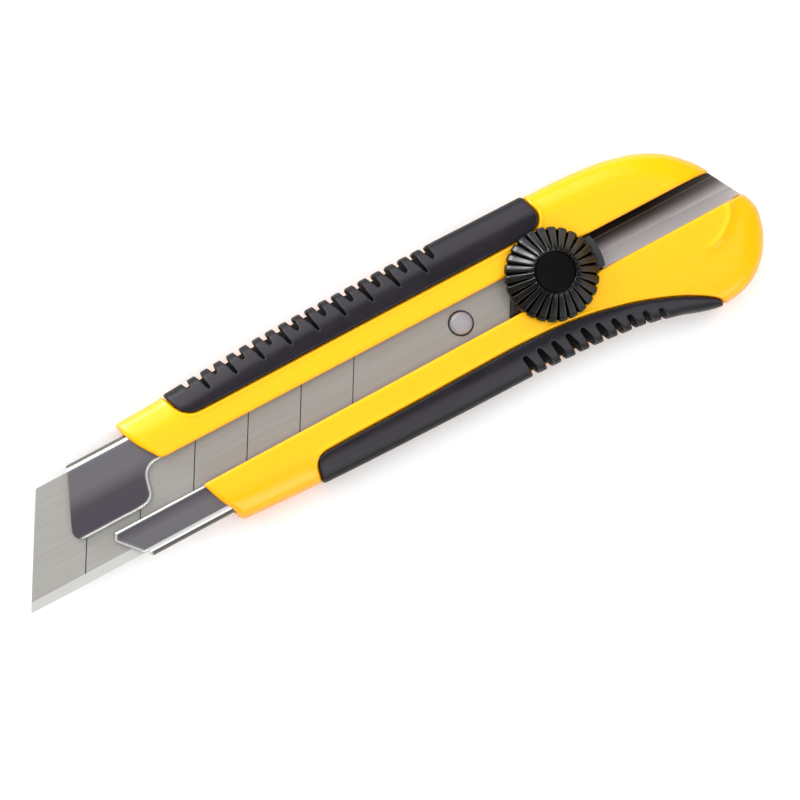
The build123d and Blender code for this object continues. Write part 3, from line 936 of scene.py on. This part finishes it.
@dataclass
class HandleBody:
    """The yellow moulding: slotted, hollow for the channel, with a raised bead round each grip."""

    shape: HandleShape
    tunnel_z: Point = (6.75, 11.85)
    tunnel_half: float = 14.05
    bend: float = 2.35
    rear_wall: float = 2.0
    rear_slot_half: float = 4.3
    bead_height: float = 0.22
    bead_offset: float = 0.8
    bead_width: float = 0.3
    crease_centre: Point = (72.5, -1.0)
    crease_radius: float = 11.0
    crease_ridge: float = 0.55
    crease_dish: float = 0.4
    dish_offset: float = 2.4
    grip_gap: float = 0.28
    grip_gap_below: float = 0.25

    def crescent(self, x: np.ndarray, y: np.ndarray, z: np.ndarray) -> np.ndarray:
        """How far the crescent on the rear lobe sinks into the form, negative on its ridge.

        Args:
            x: X of the points, in mm.
            y: Y of the points, in mm.
            z: Z of the points, in mm.

        Returns:
            The depth, 0 away from the crescent.
        """
        reach = np.hypot(x - self.crease_centre[0], y - self.crease_centre[1])
        around = np.degrees(np.arctan2(y - self.crease_centre[1], x - self.crease_centre[0]))
        sector = ramp(around, -100.0, -62.0) * (1.0 - ramp(around, -18.0, -6.0))
        ridge = hump(reach, self.crease_radius, 0.7)
        dish = hump(reach - self.crease_radius, self.dish_offset, 1.2) * ramp(-y, 6.0, 9.0)
        return (self.crease_dish * dish - self.crease_ridge * ridge) * sector * ramp(z, 5.0, 9.0)

    def tunnel(self, x: np.ndarray, y: np.ndarray, z: np.ndarray) -> np.ndarray:
        """Distance from the hollow that the channel fills.

        Args:
            x: X of the points, in mm.
            y: Y of the points, in mm.
            z: Z of the points, in mm.

        Returns:
            The distance, negative inside the hollow.
        """
        wall = self.shape.side.at(x, y) + self.rear_wall + self.shape.rear_inset(z)
        wall = np.where(x < 0.0, -5.0, wall)
        tube = tube_section(y, z, self.tunnel_half, self.tunnel_z, self.bend)
        return np.maximum(tube, np.minimum(wall, np.abs(y) - self.rear_slot_half))

    def form(self, x: np.ndarray, y: np.ndarray, z: np.ndarray) -> np.ndarray:
        """The body's form.

        Args:
            x: X of the points, in mm.
            y: Y of the points, in mm.
            z: Z of the points, in mm.

        Returns:
            The signed distance.
        """
        s = self.shape
        base = s.outer(x, y, z)
        body = base
        for window in (s.upper, s.lower):
            bead = hump(window.at(x, y), self.bead_offset, self.bead_width)
            body = body - self.bead_height * bead * ramp(z, 3.0, 8.0)
        body = body + self.crescent(x, y, z)
        slot = np.maximum(s.slot(x, y), self.tunnel_z[1] - 0.5 - z)
        body = soft_max(body, -slot, 0.8)
        body = soft_max(body, -self.tunnel(x, y, z), 0.3)
        for window in (s.upper, s.lower):
            recess = np.maximum(window.at(x, y) - self.grip_gap, -(base + s.inlay))
            recess = np.maximum(recess, s.low_z - self.grip_gap_below - z)
            body = soft_max(body, -recess, 0.3)
        return body

    def build(self) -> bpy.types.Object:
        """Meshes and dresses the body.

        Returns:
            The piece.
        """
        lines = (
            ladder((-72.0, 0.42), (-50.0, 0.8), (65.0, 0.42), (90.4, 0)),
            ladder((-26.6, 0.42), (-16.0, 0.34), (-3.6, 1.2), (3.6, 0.34), (13.0, 0.42), (20.9, 0)),
            ladder((-0.5, 0.5), (3.1, 0.9), (6.3, 0.35), (7.2, 1.0), (11.2, 0.25), (14.5, 0)),
        )
        piece = mesh_piece("handle_moulding", *skin(self.form, lines), 60.0)
        return dress(piece, Finishes.YELLOW, "handle", "yellow_abs", "handle_body")


@dataclass
class SoftGrip(ABC):
    """One soft grip: an inlay that stands proud of the handle, with finger grooves cut across it."""

    shape: HandleShape
    name: str
    node: str
    groove_depth: float = 1.4

    @abstractmethod
    def window(self) -> PlanField:
        """The grip's outline on the handle."""

    @abstractmethod
    def grooves(self) -> list[Groove]:
        """The grooves, each with its two ends and its width."""

    @abstractmethod
    def lines(self) -> tuple[np.ndarray, np.ndarray, np.ndarray]:
        """The grid lines that the grip is meshed on."""

    def form(self, x: np.ndarray, y: np.ndarray, z: np.ndarray) -> np.ndarray:
        """The grip's form.

        Args:
            x: X of the points, in mm.
            y: Y of the points, in mm.
            z: Z of the points, in mm.

        Returns:
            The signed distance.
        """
        s = self.shape
        outer = s.outer(x, y, z, s.proud)
        grip = soft_max(soft_max(outer, self.window().at(x, y), 0.9), s.low_z - z, 0.8)
        grip = np.maximum(grip, -(outer + s.proud + s.inlay))
        near = np.full(np.broadcast(x, y).shape, 1e3)
        for (ax, ay), (bx, by), width in self.grooves():
            run = (x - ax) * (bx - ax) + (y - ay) * (by - ay)
            along = np.clip(run / ((bx - ax) ** 2 + (by - ay) ** 2), 0.0, 1.0)
            reach = np.hypot(x - ax - along * (bx - ax), y - ay - along * (by - ay))
            gap = reach - width / 2 * np.minimum(0.55 + 1.6 * along, 1.0)
            near = np.minimum(near, gap)
        groove = np.maximum(near, -(outer + self.groove_depth))
        return soft_max(grip, -groove, 0.25)

    def depth(self, x: np.ndarray, y: np.ndarray, z: np.ndarray) -> np.ndarray:
        """How deep a point lies under the grip's skin, 1 in the grooves' floors; the finish paints shade
        with it.
        """
        return ramp(-self.shape.outer(x, y, z, self.shape.proud), 0.3, 0.9)

    def build(self) -> bpy.types.Object:
        """Meshes and dresses the grip.

        Returns:
            The piece.
        """
        piece = mesh_piece(self.name, *skin(self.form, self.lines()), 60.0)
        # The mark paints shade into the grooves and dulls them.
        mark(piece, self.depth)
        return dress(piece, Finishes.RUBBER, "handle", "grip_rubber", self.node)


@dataclass
class UpperGrip(SoftGrip):
    """The upper grip: leaning notches along its edge, every second one with a fine line inwards."""

    name: str = "upper_soft_grip"
    node: str = "upper_grip"
    notches: int = 19
    first_x: float = -52.0
    pitch: float = 3.6
    notch_foot_y: float = 16.9
    notch_width: float = 1.6
    line_y: Point = (14.3, 17.4)
    line_width: float = 0.75

    def window(self) -> PlanField:
        """The grip's outline on the handle."""
        return self.shape.upper

    def grooves(self) -> list[Groove]:
        """The notches and the fine lines.

        Returns:
            Their ends and widths.
        """
        made: list[Groove] = []
        for i in range(self.notches):
            top = self.first_x + self.pitch * i
            made.append(((top + 1.7, self.notch_foot_y), (top, 24.0), self.notch_width))
            if i % 2:
                made.append(((top + 2.35, self.line_y[0]), (top + 1.6, self.line_y[1]), self.line_width))
        return made

    def lines(self) -> tuple[np.ndarray, np.ndarray, np.ndarray]:
        """The grid lines, close together over the notched length.

        Returns:
            The lines along X, Y and Z.
        """
        return (
            ladder((-57.9, 0.24), (17.0, 0.5), (42.6, 0)),
            ladder((10.3, 0.26), (20.9, 0)),
            ladder((1.1, 0.6), (9.0, 0.26), (14.9, 0)),
        )


@dataclass
class LowerGrip(SoftGrip):
    """The lower grip: bars under the heel with leaning, tapering grooves between them."""

    name: str = "lower_soft_grip"
    node: str = "lower_grip"
    bars: int = 10
    first_x: float = 22.4
    pitch: float = 3.8
    foot_y: float = -14.4
    heel_x: float = 34.0
    lean: float = 0.3
    groove_width: float = 2.0

    def window(self) -> PlanField:
        """The grip's outline on the handle."""
        return self.shape.lower

    def grooves(self) -> list[Groove]:
        """The grooves between the bars, their inner ends following the heel.

        Returns:
            Their ends and widths.
        """
        made: list[Groove] = []
        for i in range(self.bars):
            foot_x = self.first_x + self.pitch * i
            run = max(0.0, foot_x - self.heel_x)
            foot_y = self.foot_y - 0.13 * run - 0.0045 * run * run
            made.append(((foot_x, foot_y), (foot_x + self.lean * (foot_y + 30.0), -30.0), self.groove_width))
        return made

    def lines(self) -> tuple[np.ndarray, np.ndarray, np.ndarray]:
        """The grid lines, close together over the bars.

        Returns:
            The lines along X, Y and Z.
        """
        return (
            ladder((-33.6, 0.45), (20.0, 0.24), (62.0, 0.3), (73.6, 0)),
            ladder((-26.7, 0.26), (-10.5, 0)),
            ladder((1.1, 0.6), (9.0, 0.26), (14.9, 0)),
        )


# ---- Blade channel -----------------------------------------------------------------------------


@dataclass
class BladeChannel:
    """The folded steel sheet that the blade slides in, its lips shaped at the front."""

    shape: HandleShape
    half_width: float = 14.0
    low_z: float = 6.8
    top_z: float = 11.8
    sheet: float = 0.8
    bend: float = 2.3
    hem: float = 0.18
    mouth_x: float = -84.3
    mouth_lean: float = 0.303
    corner: Point = (-76.4, -12.4)
    rear_wall: float = 2.1
    rear_slot_half: float = 4.15
    rear_skin: float = 0.15
    crease_y: float = -1.2
    crease_depth: float = 0.16
    rivets: Point = (-40.0, 18.0)
    seat_depth: float = 0.07
    seat_edge: Point = (3.05, 3.4)
    opening: PlanField = field(init=False)
    front: PlanField = field(init=False)

    def __post_init__(self) -> None:
        """Measures the gap between the lips and the lips' front edges."""
        gap = [(-120.0, -3.1), (-120.0, -3.1), (-78.0, -3.1), (-73.5, -3.1), (-71.0, -2.7), (-69.4, -1.4)]
        gap += [(-68.6, 1.4), (-67.9, 3.4), (-66.2, 4.8), (-63.4, 5.1), (-50.0, 5.1), (120.0, 5.1)]
        gap += [(120.0, 5.1)]
        gap += [(120.0, -5.1), (120.0, -5.1), (-81.1, -5.1), (-81.1, -5.1), (-82.1, -7.0), (-82.1, -7.0)]
        gap += [(-76.6, -13.2), (-76.6, -13.2), (-75.0, -15.0), (-75.0, -18.0), (-75.0, -18.0)]
        gap += [(-120.0, -18.0), (-120.0, -18.0)]
        self.opening = PlanField(curve_through(gap, 4))
        edge = [(-120.0, -6.0), (-87.2, -6.0), (-87.2, -6.0), (-87.2, -3.3), (-88.7, -2.6), (-89.6, -1.4)]
        edge += [(-89.5, 0.0), (-86.2, 7.6), (-84.6, 11.3), (-84.0, 13.0), (-83.8, 18.0), (-83.8, 18.0)]
        edge += [(-120.0, 18.0), (-120.0, 18.0)]
        self.front = PlanField(curve_through(edge, 4))

    def form(self, x: np.ndarray, y: np.ndarray, z: np.ndarray) -> np.ndarray:
        """The channel's form.

        Args:
            x: X of the points, in mm.
            y: Y of the points, in mm.
            z: Z of the points, in mm.

        Returns:
            The signed distance.
        """
        skin_face = tube_section(y, z, self.half_width, (self.low_z, self.top_z), self.bend)
        gap = self.opening.at(x, y)
        rolled = hump(gap, 0.32, 0.2) * ramp(z, 9.0, 11.0)
        sheet = soft_max(skin_face - self.hem * rolled, -(skin_face + self.sheet), 0.1)
        floor = self.low_z + self.sheet
        cut = np.maximum(gap, floor + 0.3 - z)
        sheet = soft_max(sheet, -cut, 0.3)
        ahead = np.maximum(self.front.at(x, y), floor + 0.3 - z)
        sheet = soft_max(sheet, -ahead, 0.3)
        mouth = self.mouth_x + (15.0 - y) * self.mouth_lean - x
        sheet = soft_max(sheet, np.minimum(mouth, floor + 0.5 - z), 0.2)
        corner = np.maximum(x - self.corner[0], y - self.corner[1])
        sheet = soft_max(sheet, -corner, 0.6)
        sheet = sheet + self.sunk(x, y) * (1.0 - ramp(z, 8.0, 9.0)) * ramp(z, 7.2, 7.4)
        side = self.shape.side.at(x, y)
        wall = np.where(x < 0.0, -5.0, side + self.rear_wall + self.shape.rear_inset(z))
        end = np.minimum(wall, np.maximum(np.abs(y) - self.rear_slot_half, side + self.rear_skin))
        return soft_max(sheet, end, 0.2)

    def sunk(self, x: np.ndarray, y: np.ndarray) -> np.ndarray:
        """How far the floor sinks: a crease along it, and a shallow seat round each rivet.

        Args:
            x: X of the points, in mm.
            y: Y of the points, in mm.

        Returns:
            The depth in mm, 0 on the plain floor.
        """
        crease = hump(y, self.crease_y, 0.16) * ramp(-x, -72.5, -71.5) * ramp(x, 30.0, 34.0)
        near, far = self.seat_edge
        seat = sum(ramp(-np.hypot(x - spot, y), -far, -near) for spot in self.rivets)
        return self.crease_depth * crease + self.seat_depth * seat

    def rim(self, x: np.ndarray, y: np.ndarray, z: np.ndarray) -> np.ndarray:
        """Where the painted highlight on the lips' rolled rims goes."""
        return hump(self.opening.at(x, y), 0.3, 0.26) * ramp(z, 10.6, 11.4)

    def build(self) -> bpy.types.Object:
        """Meshes and dresses the channel.

        Returns:
            The piece.
        """
        along = [(-90.4, 0.28), (-60.0, 1.6), (-44.0, 0.3), (-36.0, 1.6), (14.0, 0.3), (22.0, 1.6)]
        along += [(72.0, 0.4), (90.2, 0)]
        across = [(-14.3, 0.22), (-10.6, 0.5), (-5.7, 0.17), (-4.7, 0.28), (5.7, 0.5), (10.6, 0.22)]
        across += [(14.3, 0)]
        up = [(6.5, 0.17), (8.0, 0.45), (10.6, 0.13), (12.1, 0)]
        lines = (ladder(*along), ladder(*across), ladder(*up))
        piece = mesh_piece("folded_channel", *skin(self.form, lines), 45.0)
        # The mark paints a highlight on the rims.
        mark(piece, self.rim)
        return dress(piece, Finishes.CHANNEL, "handle", "channel_steel", "blade_channel")


# ---- Slider ------------------------------------------------------------------------------------


@dataclass
class SliderNeck:
    """The part of the slider that shows in the slot: a ridged deck in front, a round rear end."""

    wheel_x: float = 36.9
    half_width: float = 3.95
    radius: float = 13.1
    tail_x: float = 26.42
    lean: float = 0.57735
    foot_z: float = 10.72
    deck_z: float = 11.7
    deck_run: float = 3.2
    step: float = 2.65
    rear_drop: float = 1.4
    ridge: float = 0.22
    ridge_pitch: float = 1.1
    bore: float = 2.62
    boss: float = 3.85
    boss_z: float = 15.18
    pin_x: float = 13.2
    pin_radius: float = 2.75
    pin_shank: float = 2.0

    def form(self, x: np.ndarray, y: np.ndarray, z: np.ndarray) -> np.ndarray:
        """The neck's form.

        Args:
            x: X of the points, in mm.
            y: Y of the points, in mm.
            z: Z of the points, in mm.

        Returns:
            The signed distance.
        """
        sides = np.abs(y) - self.half_width
        behind = self.tail_x + 0.1 + y * self.lean - x
        reach = np.hypot(x - self.wheel_x, y)
        deck = np.clip((x - y * self.lean - self.tail_x) / self.deck_run, 0.0, 1.0)
        ridges = self.ridge * np.cos(2 * math.pi * (x - y * self.lean) / self.ridge_pitch)
        top = self.deck_z + ridges * (1.0 - deck) + self.step * ramp(deck, 0.75, 1.0)
        top = top - self.rear_drop * ramp(x, 46.5, 50.5)
        plan = soft_max(soft_max(sides, behind, 0.3), reach - self.radius, 0.6)
        block = soft_max(soft_max(plan, z - top, 0.4), self.foot_z - z, 0.1)
        boss = soft_max(reach - self.boss, z - self.boss_z, 0.3)
        return np.maximum(np.minimum(block, np.maximum(boss, self.foot_z - z)), -(reach - self.bore))

    def turned_pin(self) -> bpy.types.Object:
        """Turns the blade pin's domed head and shank, as high as the pin's own node.

        Returns:
            The piece.
        """
        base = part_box("blade_pin")[0][2] / MM
        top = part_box("blade_pin")[1][2] / MM
        log.info("blade_pin stands from %.2f to %.2f", base, top)
        head = [(0.0, top), (0.7, top - 0.015), (1.4, top - 0.07), (1.95, top - 0.17), (2.35, top - 0.32)]
        head += [(2.6, top - 0.5), (2.72, top - 0.72), (self.pin_radius, top - 0.95)]
        head += [(self.pin_radius, base + 1.0), (self.pin_shank, base + 1.0), (self.pin_shank, base)]
        head += [(0.0, base)]
        pin = lathe("blade_pin_turned", head, (self.pin_x, 0.0))
        return dress(pin, Finishes.PIN, "slider", "pin_steel", "blade_pin")

    def build(self) -> list[bpy.types.Object]:
        """Meshes and dresses the neck and the turned pin.

        Returns:
            The two pieces.
        """
        lines = (
            ladder((22.6, 0.2), (31.0, 0.5), (45.0, 0.25), (50.4, 0)),
            ladder((-4.2, 0.22), (4.2, 0)),
            ladder((10.4, 0.3), (11.2, 0.15), (15.5, 0)),
        )
        neck = mesh_piece("slider_neck", *skin(self.form, lines), 60.0)
        dress(neck, Finishes.NYLON_BLACK, "slider", "block_nylon")
        return [neck, self.turned_pin()]


# ---- Lock wheel --------------------------------------------------------------------------------


@dataclass
class LockWheel:
    """The screw wheel: wedge ribs down a cone, a scalloped rim and a flat matt disc."""

    x: float = 36.9
    radius: float = 11.28
    ribs: int = 26
    per_rib: int = 14
    low_z: float = 14.8
    rim_z: float = 17.0
    top_z: float = 22.3
    hub: float = 4.75
    well_mouth: float = 7.05
    well: float = 7.0
    well_z: float = 16.22
    sleeve: float = 4.05

    def ring(self, radius: float, height: float, cut: float, drop: float) -> np.ndarray:
        """One ring of vertices.

        Args:
            radius: Its radius on the ribs' crests.
            height: Its height on the crests.
            cut: How much smaller the radius is in the grooves.
            drop: How much lower the grooves are.

        Returns:
            The ring's vertices.
        """
        count = self.ribs * self.per_rib
        turn = np.arange(count) / count
        phase = (turn * self.ribs) % 1.0
        groove = np.abs(2.0 * phase - 1.0) ** 5.0
        r = radius - cut * groove
        angle = turn * 2 * math.pi
        return np.stack([self.x + r * np.cos(angle), r * np.sin(angle), height - drop * groove], axis=1)

    def shadow(self, x: np.ndarray, y: np.ndarray, z: np.ndarray) -> np.ndarray:
        """Where the painted shade in the grooves between the ribs lies.

        Args:
            x: X of the points, in mm.
            y: Y of the points, in mm.
            z: Z of the points, in mm; it makes no difference.

        Returns:
            0 on a rib, rising to 1 at a groove's bottom.
        """
        phase = (np.arctan2(y, x - self.x) / (2 * math.pi) * self.ribs) % 1.0
        return ramp(np.abs(2.0 * phase - 1.0), 0.72, 0.92)

    def build(self) -> list[bpy.types.Object]:
        """Meshes and dresses the wheel and its cap.

        Returns:
            The two pieces.
        """
        rise = self.top_z - self.rim_z
        rings = [
            self.ring(self.hub, self.top_z - 1.0, 0.0, 0.0),
            self.ring(self.hub, self.top_z - 0.25, 0.0, 0.0),
            self.ring(self.hub + 0.12, self.top_z - 0.06, 0.0, 0.0),
            self.ring(self.hub + 0.35, self.top_z, 0.0, 0.12),
        ]
        for step in np.linspace(0.06, 1.0, 10):
            out = self.hub + 0.35 + (self.radius - 0.75 - self.hub - 0.35) * step
            rings.append(self.ring(out, self.top_z - rise * step**1.15, 0.25 * step, 0.35 + 1.0 * step**0.6))
        rings += [
            self.ring(self.radius - 0.3, self.rim_z - 0.35, 0.6, 1.1),
            self.ring(self.radius - 0.06, self.rim_z - 0.8, 0.75, 0.9),
            self.ring(self.radius, self.rim_z - 1.3, 0.75, 0.6),
            self.ring(self.radius, self.low_z + 0.5, 0.6, 0.0),
            self.ring(self.radius - 0.35, self.low_z + 0.1, 0.45, 0.0),
            self.ring(self.radius - 0.8, self.low_z, 0.2, 0.0),
            self.ring(self.well_mouth, self.low_z, 0.0, 0.0),
            self.ring(self.well, self.well_z, 0.0, 0.0),
            self.ring(self.sleeve, self.well_z, 0.0, 0.0),
            self.ring(self.sleeve, self.top_z - 1.0, 0.0, 0.0),
        ]
        count = self.ribs * self.per_rib
        points = np.concatenate(rings)
        faces = []
        for k in range(len(rings)):
            a, b = k * count, (k + 1) % len(rings) * count
            faces += [[a + i, b + i, b + (i + 1) % count, a + (i + 1) % count] for i in range(count)]
        wheel = mesh_piece("ribbed_wheel", points, faces, 50.0)
        # The mark paints shade into the grooves.
        mark(wheel, self.shadow)
        dress(wheel, Finishes.BLACK_GLOSS, "lock_wheel", "wheel_plastic", "lock_wheel")
        top = self.top_z - 0.12
        disc = [(0.0, top), (2.0, top), (4.2, top - 0.02), (4.5, top - 0.1), (4.66, top - 0.28)]
        disc += [(4.68, self.top_z - 0.9), (0.0, self.top_z - 0.9)]
        cap = lathe("wheel_disc", disc, (self.x, 0.0))
        dress(cap, Finishes.BLACK_MATT, "lock_wheel", "cap_plastic", "wheel_cap")
        return [wheel, cap]


# ---- CAD nodes that keep their shape -----------------------------------------------------------


class KeptNodes:
    """The inner pieces and the blade, whose exact shapes stay and get their finishes here."""

    finishes: dict[str, Finishes] = {
        "blade": Finishes.BLADE,
        "channel_rivets": Finishes.RIVET,
        "slider_block": Finishes.NYLON_BLACK,
        "blade_holder": Finishes.ZINC,
        "holder_rivets": Finishes.RIVET,
        "slider_spring": Finishes.SPRING,
        "thrust_washer": Finishes.NYLON_PALE,
        "wave_washer": Finishes.ZINC,
        "clamp_bolt": Finishes.ZINC,
        "clamp_plate": Finishes.ZINC,
        "bolt_clip": Finishes.OXIDE,
        "wheel_insert": Finishes.BRASS,
    }

    def build(self) -> None:
        """Gives each kept node its material."""
        for name, finish in self.finishes.items():
            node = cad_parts[name]
            node.data.materials.clear()
            node.data.materials.append(finish.material())
            log.info("%s keeps its shape, in %s", name, finish.value.name)


# ---- Studio ------------------------------------------------------------------------------------


@dataclass
class Softbox:
    """One soft light, aimed at the knife's middle."""

    name: str
    place: Triple
    size: Point
    power: float
    seen_in_gloss: bool = True

    def build(self) -> bpy.types.Object:
        """Makes the light.

        Returns:
            The lamp, placed and aimed.
        """
        lamp = bpy.data.lights.new(self.name, "AREA")
        lamp.shape = "RECTANGLE"
        lamp.size, lamp.size_y = self.size
        lamp.energy = self.power
        made = bpy.data.objects.new(self.name, lamp)
        made.location = self.place
        aim = Vector((0.0, 0.0, 0.01)) - Vector(self.place)
        made.rotation_euler = aim.to_track_quat("-Z", "Y").to_euler()
        made.visible_glossy = self.seen_in_gloss
        bpy.context.scene.collection.objects.link(made)
        return made


@dataclass
class Studio:
    """Pale floor, soft lights and the camera."""

    camera_mm: Triple = (-51.31, -9.15, 530.36)
    roll: float = 0.491365
    tilt: float = 0.0830832
    lens: float = 100.0
    surround: float = 0.17
    floor_colour: Colour = (0.93, 0.93, 0.93)
    boxes: tuple[Softbox, ...] = (
        Softbox("overhead", (0.0, 0.0, 1.2), (1.4, 1.4), 14.5, False),
        Softbox("key_upper_side", (-0.10, 0.75, 0.55), (1.1, 0.5), 3.6),
        Softbox("fill_edge_side", (0.05, -0.80, 0.45), (1.0, 0.4), 4.0),
        Softbox("front_upper_end", (-0.42, 0.86, 0.15), (0.7, 0.22), 10.0),
        Softbox("butt_end", (0.85, 0.15, 0.5), (0.4, 0.8), 1.6, False),
    )

    def lay_floor(self) -> None:
        """Lays the plain floor under the knife."""
        edge, drop = 1500, -0.05
        corners = [(-edge, -edge, drop), (edge, -edge, drop), (edge, edge, drop), (-edge, edge, drop)]
        floor = mesh_piece("floor", corners, [[0, 1, 2, 3]])
        kit = NodeKit("pale_floor")
        kit.paint("Base Color", self.floor_colour)
        kit.set(Roughness=0.9, Specular_IOR_Level=0.1)
        floor.data.materials.append(kit.material)
        floor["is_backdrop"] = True

    def light(self) -> None:
        """Makes the even surround and the soft lights."""
        world = bpy.data.worlds.new("surround")
        world.use_nodes = True
        background = world.node_tree.nodes["Background"].inputs
        background["Color"].default_value = (1.0, 1.0, 1.0, 1.0)
        background["Strength"].default_value = self.surround
        bpy.context.scene.world = world
        for box in self.boxes:
            box.build()

    def place_camera(self) -> None:
        """Places the camera above the knife, rolled and tilted as the two angles say."""
        ca, sa, cb, sb = math.cos(self.roll), math.sin(self.roll), math.cos(self.tilt), math.sin(self.tilt)
        right = Vector((ca * cb, -sa, ca * sb))
        up = Vector((sa * cb, ca, sa * sb))
        back = Vector((-sb, 0.0, cb))
        turn = Matrix((right, up, back)).transposed().to_4x4()
        lens = bpy.data.cameras.new("camera")
        lens.lens = self.lens
        lens.sensor_width = 36.0
        lens.clip_start, lens.clip_end = 0.01, 10.0
        camera = bpy.data.objects.new("camera", lens)
        camera.matrix_world = Matrix.Translation(Vector(self.camera_mm) * MM) @ turn
        bpy.context.scene.collection.objects.link(camera)
        bpy.context.scene.camera = camera

    def build(self) -> None:
        """Makes the floor, surround, lights and camera."""
        self.lay_floor()
        self.light()
        self.place_camera()
        bpy.context.scene.view_settings.view_transform = "Standard"


def note_size(sizes: dict[str, list[list[float]]], name: str) -> None:
    """Adds the shown object's box to the sizes.

    Args:
        sizes: The sizes, each a box's low and high corner in metres.
        name: The name that the box gets there.
    """
    low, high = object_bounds()
    sizes[name] = [[float(v) for v in low], [float(v) for v in high]]


def main() -> None:
    """Builds every part of the knife and its studio, in order."""
    logging.basicConfig(level=logging.INFO, format="%(name)s: %(message)s")
    sizes: dict[str, list[list[float]]] = {}
    note_size(sizes, "cad")
    Studio().build()
    shape = HandleShape()
    HandleBody(shape).build()
    UpperGrip(shape).build()
    LowerGrip(shape).build()
    BladeChannel(shape).build()
    SliderNeck().build()
    LockWheel().build()
    KeptNodes().build()
    bpy.context.view_layer.update()
    note_size(sizes, "visual")


if __name__ == "__main__":
    main()
